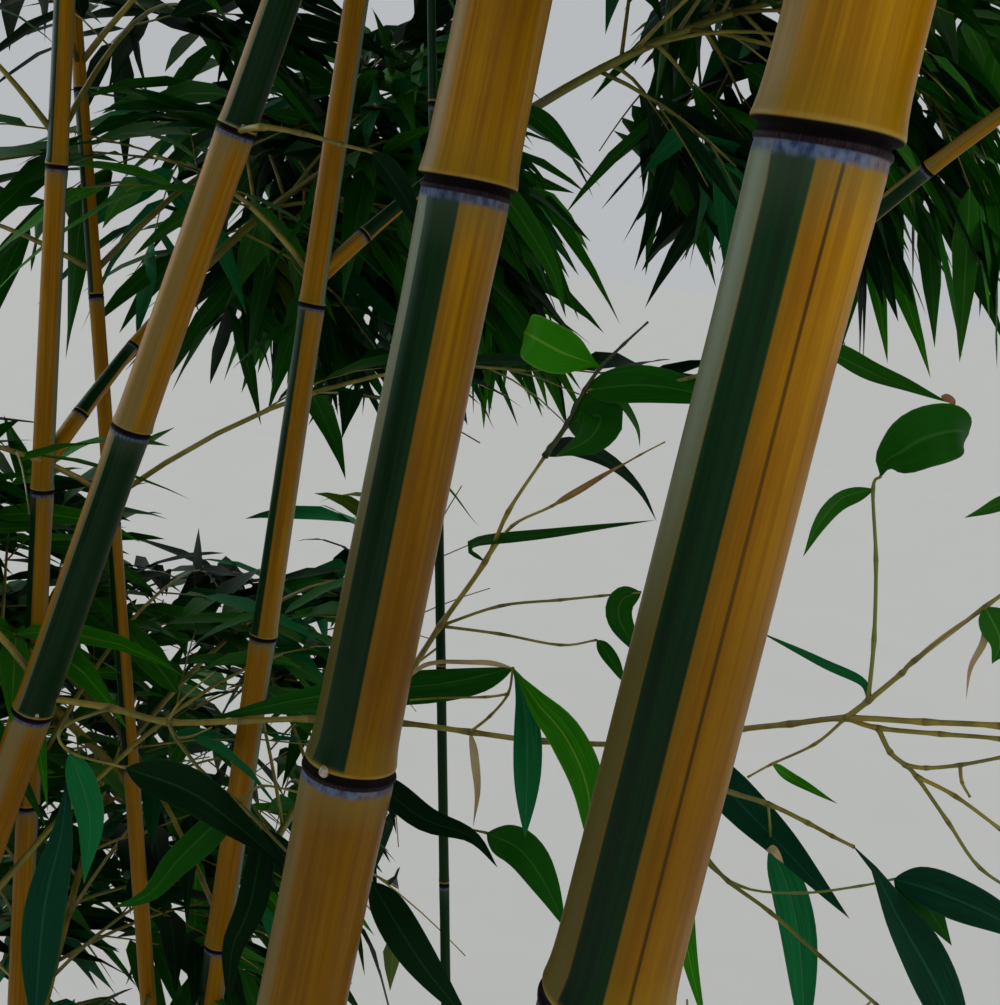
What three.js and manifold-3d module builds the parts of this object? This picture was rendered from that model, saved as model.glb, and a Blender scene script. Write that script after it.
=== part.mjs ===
// A clump of yellow bamboo with green-striped culms, growing in a plain round pot.
// Units are millimetres and +Z is up. The origin is the middle of the pot's underside.

import * as THREE from 'three';
import { mergeVertices } from 'three/addons/utils/BufferGeometryUtils.js';
import Module from 'manifold-3d';

const wasm = await Module();
wasm.setup();

// Driving sizes

const GAP = 0.3;

const POT = {
  height: 500,
  rimRadius: 320,
  footRadius: 236,
  wall: 24,
  floor: 34,
  bandHeight: 62,
  bandDepth: 12,
  edge: 7,
  soilDrop: 30,
  sides: 40,
};

const SOIL_LEVEL = POT.height - POT.soilDrop;

// A culm stands at foot [x, y], travels lean sideways for each millimetre of height, and above
// BOW_START bows out by bow at its top. One node is at height node; the others follow from it.
const BOW_START = 1600;
const CULMS = [
  {
    name: 'front', foot: [163.4, -184], lean: [0.0873, 0], bow: [40, -160], top: 3030, radius: 24.8,
    node: 1199, internode: 293, sides: 10, facing: -22, boughHeights: [1760, 2180, 2620],
  },
  {
    name: 'middle', foot: [49, -20], lean: [0.0909, 0], bow: [-200, -50], top: 3120, radius: 23.2,
    node: 1201, internode: 269, sides: 10, facing: -112, boughHeights: [1800, 2270, 2700],
  },
  {
    name: 'left', foot: [-257, 60], lean: [0.274, 0], bow: [-430, 100], top: 2560, radius: 11.5,
    node: 1332, internode: 163, sides: 7, facing: 192, boughHeights: [1720, 2160],
  },
  {
    name: 'front_left', foot: [-112, -172], lean: [-0.07, -0.02], bow: [-120, -160], top: 2700, radius: 16,
    node: 1290, internode: 250, sides: 7, facing: 232, boughHeights: [1800, 2270],
  },
  {
    name: 'back_right', foot: [222, 110], lean: [0.0873, 0.02], bow: [110, 140], top: 2800, radius: 14,
    node: 1180, internode: 245, sides: 7, facing: 30, boughHeights: [1400, 2150],
  },
  {
    name: 'back', foot: [-4, 160], lean: [0.052, 0.03], bow: [-20, 250], top: 2680, radius: 9,
    node: 1189, internode: 212, sides: 6, facing: 90, boughHeights: [1330, 2050],
  },
  {
    name: 'back_left', foot: [-92, 140], lean: [-0.01, 0.02], bow: [-190, 170], top: 2340, radius: 7.4,
    node: 1458, internode: 205, sides: 6, facing: 130, boughHeights: [1330],
  },
  {
    name: 'slim', foot: [62, 112], lean: [-0.18, 0.14], bow: [-20, 60], top: 1940, radius: 5.6,
    node: 1240, internode: 170, sides: 6, facing: 120, boughHeights: [],
  },
  {
    name: 'shoot', foot: [242, 90], lean: [-0.125, 0], bow: [40, 60], top: 1700, radius: 3.2,
    node: 1215, internode: 150, sides: 6, facing: 0, boughHeights: [],
  },
];

const CULM = {
  tipRadius: 3.2,
  taperPower: 1.7,
  footFlat: 60,
  shortestInternode: 0.25,
  longestAt: 0.3,
  tipShortening: 0.65,
};
const RIDGE = { flange: 1.09, waist: 0.985, above: 15, below: 9, lift: 2 };

// A bough leaves its culm at a node, to one side and the other of the way the culm faces
const BOUGH = {
  length: 270,
  radius: 5.2,
  tipRadius: 3,
  rise: 48,
  spread: 66,
  droop: 0.12,
  sides: 5,
  segments: 3,
  topShrink: 0.45,
};

// The sprays low down grow straight from a culm at a height, in a direction given by its angle
// round the culm and its rise from level, and drift sideways as they go. A limb carries the
// spray out where one is named.
const LOW_SPRAYS = [
  { name: 'low_middle', culm: 'middle', height: 1204, angle: 14, rise: 62, stem: 235,
    drift: [0, 0, -0.04], size: 0.5, reach: 440 },
  { name: 'low_right', culm: 'left', height: 1182, angle: -1, rise: 3, limb: 205, stem: 255,
    drift: [-0.23, -0.8, 0.38], size: 0.6, reach: 400 },
  { name: 'low_left', culm: 'slim', height: 1070, angle: 168, rise: 38, stem: 300,
    drift: [0, 0, -0.22], size: 0.7, reach: 380 },
  { name: 'low_back_left', culm: 'back_left', height: 840, angle: 95, rise: 42, stem: 360,
    drift: [0, 0, -0.2], size: 0.85, reach: 380 },
  { name: 'low_back', culm: 'back', height: 980, angle: 72, rise: 34, stem: 360,
    drift: [0, 0, -0.2], size: 0.85, reach: 380 },
  { name: 'low_back_right', culm: 'back_right', height: 800, angle: 40, rise: 16, stem: 360,
    drift: [0, 0, -0.2], size: 0.85, reach: 380 },
  { name: 'low_front_left', culm: 'front_left', height: 1300, angle: 200, rise: 40, stem: 360,
    drift: [0, 0, -0.2], size: 0.85, reach: 380 },
];

// A mass of foliage is a stem with twigs turning round it, and leaves along each twig's end
const STEM = { length: 400, reach: 430, middle: 0.6, droop: 0.2, radius: 3, tipRadius: 2, segments: 3 };
const TWIG = {
  count: 5,
  first: 0.16,
  length: 160,
  angle: 50,
  turn: 137.5,
  droop: 0.22,
  radius: 2.6,
  tipRadius: 1.8,
};
const LEAF = {
  perTwig: 4,
  apart: 0.2,
  length: 240,
  width: 64,
  thickness: 3,
  widest: 0.36,
  spread: 40,
  droop: 0.7,
  roll: 60,
  sink: 0.8,
};
const ROOM_MARGIN = 3;
const LIMB_MARGIN = 4;

const UP = new THREE.Vector3(0, 0, 1);
const radians = THREE.MathUtils.degToRad;

// Materials

const finish = (color, roughness) => new THREE.MeshStandardMaterial({ color, roughness, metalness: 0 });
const MATERIALS = {
  pot: () => finish('#6f6a63', 0.55),
  soil: () => finish('#2f2118', 0.95),
  culm: () => finish('#a8760c', 0.38),
  bough: () => finish('#7d7a34', 0.5),
  foliage: () => finish('#2c5a14', 0.5),
};

// Solids: closed three.js geometry in and out, joined and cut in between

function toSolid(geometry) {
  const bare = geometry.clone();
  bare.deleteAttribute('normal');
  bare.deleteAttribute('uv');
  const merged = mergeVertices(bare, 1e-4);
  return new wasm.Manifold(new wasm.Mesh({
    numProp: 3,
    vertProperties: new Float32Array(merged.attributes.position.array),
    triVerts: new Uint32Array(merged.index.array),
  }));
}

function toGeometry(solid) {
  const mesh = solid.getMesh();
  const geometry = new THREE.BufferGeometry();
  geometry.setAttribute('position', new THREE.BufferAttribute(mesh.vertProperties, 3));
  geometry.setIndex(new THREE.BufferAttribute(mesh.triVerts, 1));
  geometry.computeVertexNormals();
  return geometry;
}

// The largest connected body, without loose scraps or sealed hollows
function largestBody(solid) {
  return solid.decompose().sort((a, b) => b.volume() - a.volume())[0];
}

function namedMesh(name, geometry, kind) {
  const mesh = new THREE.Mesh(geometry, MATERIALS[kind]());
  mesh.name = name;
  return mesh;
}

// A round solid from a profile of [radius, height] pairs that starts and ends on the axis
function turned(profile, sides) {
  const points = profile.map(([radius, height]) => new THREE.Vector2(radius, height));
  return new THREE.LatheGeometry(points, sides).rotateX(Math.PI / 2);
}

// Each level of an upright solid moved to its place on a curved axis, square to the curve
function bend(geometry, place) {
  const position = geometry.attributes.position;
  for (let i = 0; i < position.count; i++) {
    const { point, tangent } = place(position.getZ(i));
    const turn = new THREE.Quaternion().setFromUnitVectors(UP, tangent);
    const moved = new THREE.Vector3(position.getX(i), position.getY(i), 0).applyQuaternion(turn).add(point);
    position.setXYZ(i, moved.x, moved.y, moved.z);
  }
  return geometry;
}

// Curves: an arc leaves its root in one direction, and bends away by the vector drift times its length

function arc(root, heading, length, drift) {
  return {
    length,
    point: (t) => root.clone().addScaledVector(heading, length * t).addScaledVector(drift, length * t * t),
    tangent: (t) => heading.clone().addScaledVector(drift, 2 * t).normalize(),
  };
}

function sinking(droop) {
  return new THREE.Vector3(0, 0, -droop);
}

// A tapering limb round an arc, with flat ends
function taperedLimb(curve, radius, tipRadius, sides, segments) {
  const profile = [[0, 0]];
  for (let i = 0; i <= segments; i++) {
    profile.push([THREE.MathUtils.lerp(radius, tipRadius, i / segments), i / segments]);
  }
  profile.push([0, 1]);
  return bend(turned(profile, sides), (t) => ({ point: curve.point(t), tangent: curve.tangent(t) }));
}

function direction(angle, rise) {
  const level = Math.cos(radians(rise));
  return new THREE.Vector3(
    level * Math.cos(radians(angle)), level * Math.sin(radians(angle)), Math.sin(radians(rise)));
}

// Repeatable numbers from 0 to 1
function randomSource(seed) {
  let state = seed;
  return () => {
    state = (Math.imul(state, 1664525) + 1013904223) >>> 0;
    return state / 4294967296;
  };
}

// Pot and soil

function pot() {
  const { height, rimRadius, footRadius, wall, floor, bandHeight, bandDepth, edge } = POT;
  const bandFoot = height - bandHeight;
  const outer = (z) => THREE.MathUtils.lerp(footRadius, rimRadius - bandDepth, z / bandFoot);
  return turned([
    [0, 0], [footRadius - edge, 0], [footRadius, edge],
    [outer(bandFoot), bandFoot - bandDepth],
    [rimRadius, bandFoot], [rimRadius, height - edge], [rimRadius - edge, height],
    [rimRadius - wall - bandDepth + edge, height], [rimRadius - wall - bandDepth, height - edge],
    [innerRadius(floor), floor], [0, floor],
  ], POT.sides);
}

// The pot's inner wall narrows evenly from just under the rim to its floor
function innerRadius(z) {
  const top = POT.height - POT.edge;
  const topRadius = POT.rimRadius - POT.wall - POT.bandDepth;
  const floorRadius = POT.footRadius - POT.wall;
  return THREE.MathUtils.lerp(floorRadius, topRadius, (z - POT.floor) / (top - POT.floor));
}

function soil() {
  const bottom = POT.floor + GAP;
  return turned([
    [0, bottom], [innerRadius(bottom) - 2 * GAP, bottom],
    [innerRadius(SOIL_LEVEL) - 2 * GAP, SOIL_LEVEL], [0, SOIL_LEVEL],
  ], POT.sides);
}

// Culms

function culmPoint(culm, z) {
  const rise = z - SOIL_LEVEL;
  const past = Math.max(0, z - BOW_START) / (culm.top - BOW_START);
  return new THREE.Vector3(
    culm.foot[0] + culm.lean[0] * rise + culm.bow[0] * past * past,
    culm.foot[1] + culm.lean[1] * rise + culm.bow[1] * past * past,
    z);
}

function culmTangent(culm, z) {
  return culmPoint(culm, z + 1).sub(culmPoint(culm, z - 1)).normalize();
}

// The axis at a height, made upright at the foot so that the cut there is level
function culmPlace(culm, z) {
  const straighten = THREE.MathUtils.smoothstep(z, SOIL_LEVEL, SOIL_LEVEL + CULM.footFlat);
  const tangent = UP.clone().lerp(culmTangent(culm, z), straighten).normalize();
  return { point: culmPoint(culm, z), tangent };
}

function culmRadius(culm, z) {
  const h = THREE.MathUtils.clamp((z - SOIL_LEVEL) / (culm.top - SOIL_LEVEL), 0, 1);
  const tip = Math.min(CULM.tipRadius, culm.radius * 0.6);
  return tip + (culm.radius - tip) * (1 - h ** CULM.taperPower);
}

// Internodes are short at the foot, longest about a third of the way up, and shorten to the tip
function internodeAt(culm, z) {
  const h = THREE.MathUtils.clamp((z - SOIL_LEVEL) / (culm.top - SOIL_LEVEL), 0, 1);
  const grown = Math.sin((Math.PI / 2) * (h / CULM.longestAt));
  const growing = THREE.MathUtils.lerp(CULM.shortestInternode, 1, grown);
  const shortening = 1 - CULM.tipShortening * ((h - CULM.longestAt) / (1 - CULM.longestAt)) ** 1.5;
  return culm.internode * (h < CULM.longestAt ? growing : shortening);
}

function nodeHeights(culm) {
  const heights = [culm.node];
  for (let z = culm.node; z < culm.top; z = heights.at(-1)) {
    heights.push(z + internodeAt(culm, z + culm.internode * 0.5));
  }
  for (let z = culm.node; z > SOIL_LEVEL; z = heights[0]) {
    heights.unshift(z - internodeAt(culm, z - culm.internode * 0.4));
  }
  return heights.filter((z) => z > SOIL_LEVEL + 2 * RIDGE.above && z < culm.top - 2 * RIDGE.above);
}

// The main culms get a full ridge at each node, the thin ones a flange over a waist
function culm(spec, grow = 0) {
  const ground = SOIL_LEVEL + GAP;
  const at = (z, factor) => [culmRadius(spec, z) * factor + grow, z];
  const profile = [[0, ground], at(ground, RIDGE.waist)];
  for (const z of nodeHeights(spec)) {
    profile.push(at(z - RIDGE.below, RIDGE.waist), at(z + RIDGE.lift, RIDGE.flange));
    if (spec.sides > 8) {
      profile.push(at(z + RIDGE.above, 1));
    }
  }
  profile.push(at(spec.top, 1), [0, spec.top]);
  return bend(turned(profile, spec.sides), (z) => culmPlace(spec, z));
}

// The sides of a faceted culm lie inside its radius, so a cut by it is widened to clear them
function culmCutter(spec) {
  return toSolid(culm(spec, GAP / Math.cos(Math.PI / spec.sides)));
}

// Boughs and stems: each grows from a culm or goes on from the limb that carries it

function nearestNode(spec, height) {
  const heights = nodeHeights(spec);
  return heights.reduce((best, z) => (Math.abs(z - height) < Math.abs(best - height) ? z : best));
}

function boughs(spec) {
  return spec.boughHeights.map((height, k) => {
    const z = nearestNode(spec, height) + RIDGE.above;
    const side = k % 2 ? 1 : -1;
    const shrink = 1 - BOUGH.topShrink * ((z - SOIL_LEVEL) / (spec.top - SOIL_LEVEL)) ** 2;
    const size = shrink * THREE.MathUtils.clamp(spec.radius / 16, 0.75, 1.05);
    return {
      name: `${spec.name}_${k + 1}`,
      culm: spec,
      curve: arc(culmPoint(spec, z), direction(spec.facing + side * BOUGH.spread, BOUGH.rise),
        BOUGH.length * size, sinking(BOUGH.droop)),
      size,
    };
  });
}

function bough(limb) {
  const whole = taperedLimb(limb.curve, BOUGH.radius, BOUGH.tipRadius, BOUGH.sides, BOUGH.segments);
  return toGeometry(largestBody(toSolid(whole).subtract(culmCutter(limb.culm))));
}

function startAfter(curve) {
  return curve.point(1).addScaledVector(curve.tangent(1), GAP);
}

// A mass: its stem, the size of its twigs and leaves, and the ball that it keeps inside
function makeMass(name, stem, size, reach, cutBy) {
  return { name, stem, size, room: { centre: stem.point(STEM.middle), radius: reach * size }, cutBy };
}

function boughMass(limb) {
  const length = STEM.length * limb.size;
  const stem = arc(startAfter(limb.curve), limb.curve.tangent(1), length, sinking(STEM.droop));
  return makeMass(limb.name, stem, limb.size, STEM.reach);
}

function topMass(spec) {
  const size = THREE.MathUtils.clamp(spec.radius / 14, 0.6, 1);
  const heading = culmTangent(spec, spec.top);
  const root = culmPoint(spec, spec.top).addScaledVector(heading, GAP);
  const stem = arc(root, heading, STEM.length * size, sinking(STEM.droop));
  return makeMass(`${spec.name}_top`, stem, size, STEM.reach);
}

function lowLimb(spray) {
  const spec = CULMS.find((culm) => culm.name === spray.culm);
  const root = culmPoint(spec, spray.height);
  const curve = arc(root, direction(spray.angle, spray.rise), spray.limb, sinking(0));
  return { name: spray.name, culm: spec, curve };
}

function lowMass(spray) {
  const spec = CULMS.find((culm) => culm.name === spray.culm);
  const heading = direction(spray.angle, spray.rise);
  const drift = new THREE.Vector3(...spray.drift);
  const root = spray.limb ? startAfter(lowLimb(spray).curve) : culmPoint(spec, spray.height);
  const stem = arc(root, heading, spray.stem, drift);
  return makeMass(spray.name, stem, spray.size, spray.reach, spray.limb ? undefined : spec);
}

// Room: a mass keeps inside its own ball, and nearer to its own middle than to any other's

function inRoom(mass, masses, point) {
  const own = point.distanceToSquared(mass.room.centre);
  return own < mass.room.radius ** 2 && masses.every((other) => {
    const margin = 2 * ROOM_MARGIN * mass.room.centre.distanceTo(other.room.centre);
    return other === mass || own + margin < point.distanceToSquared(other.room.centre);
  });
}

function clearOfLimbs(limbs, own, point) {
  return limbs.every((limb) => limb.owner === own
    || limb.samples.every((sample) => sample.point.distanceTo(point) > sample.radius + LIMB_MARGIN));
}

function curveSamples(curve, radius, tipRadius) {
  const count = Math.ceil(curve.length / (radius + LIMB_MARGIN));
  return Array.from({ length: count + 1 }, (_, i) => ({
    point: curve.point(i / count),
    radius: THREE.MathUtils.lerp(radius, tipRadius, i / count),
  }));
}

function culmSamples(spec) {
  const step = culmRadius(spec, spec.top) + LIMB_MARGIN;
  const count = Math.ceil((spec.top - SOIL_LEVEL) / step);
  return Array.from({ length: count + 1 }, (_, i) => {
    const z = SOIL_LEVEL + (i / count) * (spec.top - SOIL_LEVEL);
    return { point: culmPoint(spec, z), radius: culmRadius(spec, z) * RIDGE.flange };
  });
}

// Foliage: twigs turn round the stem by an even angle, and each ends in a fan of leaves

function leafShape(root, heading, roll, size) {
  const across = heading.clone().cross(UP).normalize().applyAxisAngle(heading, roll);
  const face = heading.clone().cross(across);
  const place = new THREE.Matrix4().makeBasis(across, face, heading);
  return turned([[0, 0], [1, LEAF.widest * LEAF.length], [0, LEAF.length]], 3)
    .scale(LEAF.width / Math.sqrt(3), LEAF.thickness / 1.5, 1)
    .scale(size, size, size)
    .applyMatrix4(place.setPosition(root));
}

function leafPoints(shape) {
  const position = shape.attributes.position;
  const corners = Array.from({ length: position.count }, (_, i) =>
    new THREE.Vector3().fromBufferAttribute(position, i));
  const next = (i) => corners[(i + 1) % corners.length];
  return corners.flatMap((corner, i) => [corner, corner.clone().lerp(next(i), 0.5)]);
}

function twigArc(mass, index, random) {
  const t = TWIG.first + (1 - TWIG.first) * ((index + 1) / TWIG.count);
  const along = mass.stem.tangent(t);
  const side = along.clone().cross(UP).normalize().applyAxisAngle(along, radians(TWIG.turn * index));
  const heading = along.clone().multiplyScalar(Math.cos(radians(TWIG.angle)))
    .addScaledVector(side, Math.sin(radians(TWIG.angle)));
  const length = TWIG.length * mass.size * (0.75 + 0.5 * random());
  const last = index === TWIG.count - 1;
  return arc(mass.stem.point(t), last ? along : heading, length, sinking(TWIG.droop));
}

function leafHeading(twig, place, index, random) {
  const along = twig.tangent(place);
  const side = along.clone().cross(UP).normalize();
  const spread = index === 0 ? 0 : radians(LEAF.spread * (0.7 + 0.6 * random())) * (index % 2 ? 1 : -1);
  return along.multiplyScalar(Math.cos(spread)).addScaledVector(side, Math.sin(spread))
    .addScaledVector(UP, -LEAF.droop * random()).normalize();
}

function foliage(mass, masses, limbs) {
  const random = randomSource(masses.indexOf(mass) + 1);
  const fits = (points) => points.every((point) => inRoom(mass, masses, point)
    && clearOfLimbs(limbs, mass, point));
  const solids = [toSolid(taperedLimb(mass.stem, STEM.radius, STEM.tipRadius, 3, STEM.segments))];
  for (let i = 0; i < TWIG.count; i++) {
    const twig = twigArc(mass, i, random);
    const twigFits = fits(curveSamples(twig, TWIG.radius, TWIG.tipRadius).map((sample) => sample.point));
    if (twigFits) {
      solids.push(toSolid(taperedLimb(twig, TWIG.radius, TWIG.tipRadius, 3, 1)));
    }
    for (let k = 0; k < LEAF.perTwig; k++) {
      const place = 1 - LEAF.apart * k;
      const heading = leafHeading(twig, place, k, random);
      const roll = radians(LEAF.roll) * (2 * random() - 1);
      const root = twig.point(place).addScaledVector(heading, -LEAF.sink);
      const shape = leafShape(root, heading, roll, mass.size);
      if (twigFits && fits(leafPoints(shape))) {
        solids.push(toSolid(shape));
      }
    }
  }
  const joined = wasm.Manifold.union(solids);
  const cut = mass.cutBy ? joined.subtract(culmCutter(mass.cutBy)) : joined;
  return toGeometry(largestBody(cut));
}

// Assembly

function plant() {
  const group = new THREE.Group();
  const allBoughs = CULMS.flatMap(boughs);
  const lowLimbs = LOW_SPRAYS.filter((spray) => spray.limb).map(lowLimb);
  const limbs = [...allBoughs, ...lowLimbs];
  const masses = [...allBoughs.map(boughMass), ...CULMS.map(topMass), ...LOW_SPRAYS.map(lowMass)];
  const samples = [
    ...CULMS.map((spec) => ({ samples: culmSamples(spec) })),
    ...limbs.map((limb) => ({ samples: curveSamples(limb.curve, BOUGH.radius, BOUGH.tipRadius) })),
    ...masses.map((mass) => ({ owner: mass, samples: curveSamples(mass.stem, STEM.radius, STEM.tipRadius) })),
  ];
  for (const spec of CULMS) {
    group.add(namedMesh(`culm_${spec.name}`, culm(spec), 'culm'));
  }
  for (const limb of limbs) {
    group.add(namedMesh(`bough_${limb.name}`, bough(limb), 'bough'));
  }
  for (const mass of masses) {
    group.add(namedMesh(`foliage_${mass.name}`, foliage(mass, masses, samples), 'foliage'));
  }
  return group;
}

const model = plant();
model.add(namedMesh('pot', pot(), 'pot'), namedMesh('soil', soil(), 'soil'));

export default model;
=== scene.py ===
"""A clump of yellow bamboo with green-striped culms, growing in a plain round pot.

Sizes are metres and +Z is up, with the origin in the middle of the pot's underside. The culms,
boughs and masses of leaves follow the rules that the model's source is made by, written again
here and carried on to finer twigs and leaves of their real size.
"""
import math

import bpy
import numpy as np
from mathutils import Matrix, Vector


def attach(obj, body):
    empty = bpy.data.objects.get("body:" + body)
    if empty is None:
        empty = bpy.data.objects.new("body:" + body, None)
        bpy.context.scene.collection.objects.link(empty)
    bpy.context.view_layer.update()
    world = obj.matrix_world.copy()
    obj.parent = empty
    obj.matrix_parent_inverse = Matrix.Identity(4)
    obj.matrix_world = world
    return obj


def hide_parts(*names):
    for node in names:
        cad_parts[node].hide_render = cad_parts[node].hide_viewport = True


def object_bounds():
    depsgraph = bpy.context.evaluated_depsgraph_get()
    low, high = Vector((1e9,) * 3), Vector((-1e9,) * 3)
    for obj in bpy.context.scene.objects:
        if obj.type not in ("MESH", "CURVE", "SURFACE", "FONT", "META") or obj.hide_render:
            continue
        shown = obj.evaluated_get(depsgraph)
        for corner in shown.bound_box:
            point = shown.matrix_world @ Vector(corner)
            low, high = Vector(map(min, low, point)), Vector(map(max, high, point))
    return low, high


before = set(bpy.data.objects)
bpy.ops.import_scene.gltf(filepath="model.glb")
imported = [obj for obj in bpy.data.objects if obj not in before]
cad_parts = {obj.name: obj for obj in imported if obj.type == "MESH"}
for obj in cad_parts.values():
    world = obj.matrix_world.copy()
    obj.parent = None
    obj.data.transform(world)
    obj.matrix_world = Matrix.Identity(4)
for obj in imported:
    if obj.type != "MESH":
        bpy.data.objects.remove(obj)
cad_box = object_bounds()

UP = np.array([0.0, 0.0, 1.0])

# Camera: where the photograph was taken from, its focal length in pixels, its pitch and roll in
# degrees, and its sensor's width in millimetres

PICTURE = {"width": 1000, "height": 1005, "focal": 1278.0, "pitch": 11.7, "roll": 7.0}
CAMERA_AT = np.array([0.17, -0.58, 1.45])
SENSOR = 36.0

# The plant, as in the model's source

SOIL_LEVEL = 0.470
GAP = 0.0003
BOW_START = 1.600

# Each culm stands at foot, travels lean sideways for each metre of height, and above BOW_START
# bows out by bow at its top. One node is at height node, and slender boughs start at leafy_from.
# facing is the side that its boughs grow to and stripe the side of the stripe above that node,
# both in degrees seen from above. hairline is a thin brown line's angle from the stripe, in
# radians. girths gives the share of its thickness that a culm has above the nodes at these
# heights. A culm can also set how strongly painted shade darkens it towards the soil.
CULMS = [
    dict(name="front", foot=(0.1634, -0.184), lean=(0.0873, 0), bow=(0.040, -0.160), top=3.030,
         radius=0.0248, node=1.199, internode=0.293, leafy_from=1.70, facing=-22,
         boughs=(1.760, 2.180, 2.620), stripe=-123.2, stripe_width=40, hairline=0.74,
         girths={1.199: 0.97, 1.489: 1.06}, painted_low_shade=1.4),
    dict(name="middle", foot=(0.049, -0.020), lean=(0.0909, 0), bow=(-0.200, -0.050), top=3.120,
         radius=0.0232, node=1.201, internode=0.269, leafy_from=1.70, facing=-112,
         boughs=(1.800, 2.270, 2.700), stripe=-117.4, stripe_width=50,
         girths={1.201: 0.955, 1.469: 1.03}, painted_low_shade=1.0),
    dict(name="left", foot=(-0.257, 0.060), lean=(0.274, 0), bow=(-0.430, 0.100), top=2.560,
         radius=0.0115, node=1.332, internode=0.163, leafy_from=1.00, facing=192,
         boughs=(1.720, 2.160), stripe=122, stripe_width=116, painted_low_shade=0.6),
    dict(name="front_left", foot=(-0.112, -0.172), lean=(-0.07, -0.02), bow=(-0.120, -0.160),
         top=2.700, radius=0.016, node=1.290, internode=0.250, leafy_from=1.50, facing=232,
         boughs=(1.800, 2.270), stripe=-60, stripe_width=48),
    dict(name="back_right", foot=(0.222, 0.110), lean=(0.0873, 0.02), bow=(0.110, 0.140),
         top=2.800, radius=0.014, node=1.180, internode=0.245, leafy_from=1.36, facing=30,
         boughs=(1.400, 2.150), stripe=-100, stripe_width=44),
    dict(name="back", foot=(-0.004, 0.160), lean=(0.052, 0.03), bow=(-0.020, 0.250), top=2.680,
         radius=0.009, node=1.189, internode=0.212, leafy_from=0.95, facing=90,
         boughs=(1.330, 2.050), stripe=-150, stripe_width=90),
    dict(name="back_left", foot=(-0.092, 0.140), lean=(-0.01, 0.02), bow=(-0.190, 0.170),
         top=2.340, radius=0.0074, node=1.458, internode=0.205, leafy_from=0.78, facing=130,
         boughs=(1.330,), stripe=-140, stripe_width=84),
    dict(name="slim", foot=(0.062, 0.112), lean=(-0.18, 0.14), bow=(-0.020, 0.060), top=1.940,
         radius=0.0056, node=1.240, internode=0.170, leafy_from=0.90, facing=120, boughs=(),
         stripe=60, stripe_width=60),
    dict(name="shoot", foot=(0.242, 0.090), lean=(-0.125, 0), bow=(0.040, 0.060), top=1.700,
         radius=0.0032, node=1.215, internode=0.150, leafy_from=1.45, facing=0, boughs=(),
         stripe=-90, stripe_width=360),
]
# How strongly painted shade darkens a culm towards the soil, for a culm that sets no strength of its
# own
PAINTED_LOW_SHADE_SHARE = 0.3
CULM = dict(tip_radius=0.0032, tip_share=0.6, taper_power=1.7, foot_flat=0.060, shortest=0.25,
            longest_at=0.3, tip_shortening=0.65, shortening_power=1.5, measured_above=0.5,
            measured_below=0.4)
NODE_ABOVE = 0.015
FLANGE = 1.09

BOUGH = dict(length=0.270, radius=0.0052, tip_radius=0.003, rise=48, spread=66, droop=0.12,
             top_shrink=0.45, internode=0.062, full_radius=0.016, smallest=0.75, largest=1.05)
TOP = dict(full_radius=0.014, smallest=0.6)

LOW_SPRAYS = [
    dict(name="low_middle", culm="middle", height=1.204, angle=14, rise=62, stem=0.235,
         drift=(0, 0, -0.04), size=0.5, reach=0.440),
    dict(name="low_right", culm="left", height=1.182, angle=-1, rise=3, limb=0.205, stem=0.255,
         drift=(-0.23, -0.8, 0.38), size=0.6, reach=0.400),
    dict(name="low_left", culm="slim", height=1.070, angle=168, rise=38, stem=0.300,
         drift=(0, 0, -0.22), size=0.7, reach=0.380),
    *(dict(name="low_" + culm, culm=culm, height=height, angle=angle, rise=rise, stem=0.360,
           drift=(0, 0, -0.2), size=0.85, reach=0.380)
      for culm, height, angle, rise in (("back_left", 0.840, 95, 42), ("back", 0.980, 72, 34),
                                        ("back_right", 0.800, 40, 16),
                                        ("front_left", 1.300, 200, 40))),
]

# A mass's stem, its twigs, and the sprays on each twig. Angles are in degrees. A twig's length and
# a spray's spread are the given one times a number from least to least and more together.
STEM = dict(length=0.400, reach=0.430, middle=0.6, droop=0.2, radius=0.003, tip_radius=0.002)
TWIG = dict(count=5, first=0.16, length=0.160, least=0.75, more=0.5, angle=50, turn=137.5,
            droop=0.22, radius=0.0015, tip_radius=0.0009)
SPRAY = dict(per_twig=4, apart=0.2, length=0.240, shortest=0.03, spread=40, least=0.7, more=0.6,
             droop=0.7, sag=0.12, radius=0.0008, tip_radius=0.0005)
ROOM_MARGIN = 0.003
LIMB_MARGIN = 0.004

# Finer than the source: twigs between its twigs, and leaves along what it draws as one leaf
TWIGS_PER_TWIG = 5
EXTRA_TURN = dict(step=0.618, first=0.5)
LEAVES_PER_SPRAY = 9
LEAF = dict(length=0.100, width=0.0172, angle=38, droop=0.30, first=0.15, fold=0.22, waver=0.24,
            tilt=0.45, twist=0.8, angle_range=(0.7, 1.4), length_range=(0.72, 1.15),
            droop_range=(0.3, 1.6), width_range=(0.85, 1.2))
# The share of the sprays that has each shade
SHADES = {
    "bright": 0.10,
    "fresh": 0.24,
    "dark": 0.30,
    "deep": 0.22,
    "teal": 0.09,
    "olive": 0.05,
}


# Vectors and curves

def unit(vectors):
    vectors = np.asarray(vectors, float)
    return vectors / np.maximum(np.linalg.norm(vectors, axis=-1, keepdims=True), 1e-12)


def turned_about(vector, axis, angle):
    """vector turned about a unit axis by angle, in radians."""
    c, s = math.cos(angle), math.sin(angle)
    return vector * c + np.cross(axis, vector) * s + axis * (axis @ vector) * (1 - c)


def direction(angle, rise):
    level = math.cos(math.radians(rise))
    a = math.radians(angle)
    return np.array([level * math.cos(a), level * math.sin(a), math.sin(math.radians(rise))])


def smoothstep(x, low, high):
    t = np.clip((x - low) / (high - low), 0, 1)
    return t * t * (3 - 2 * t)


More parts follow.
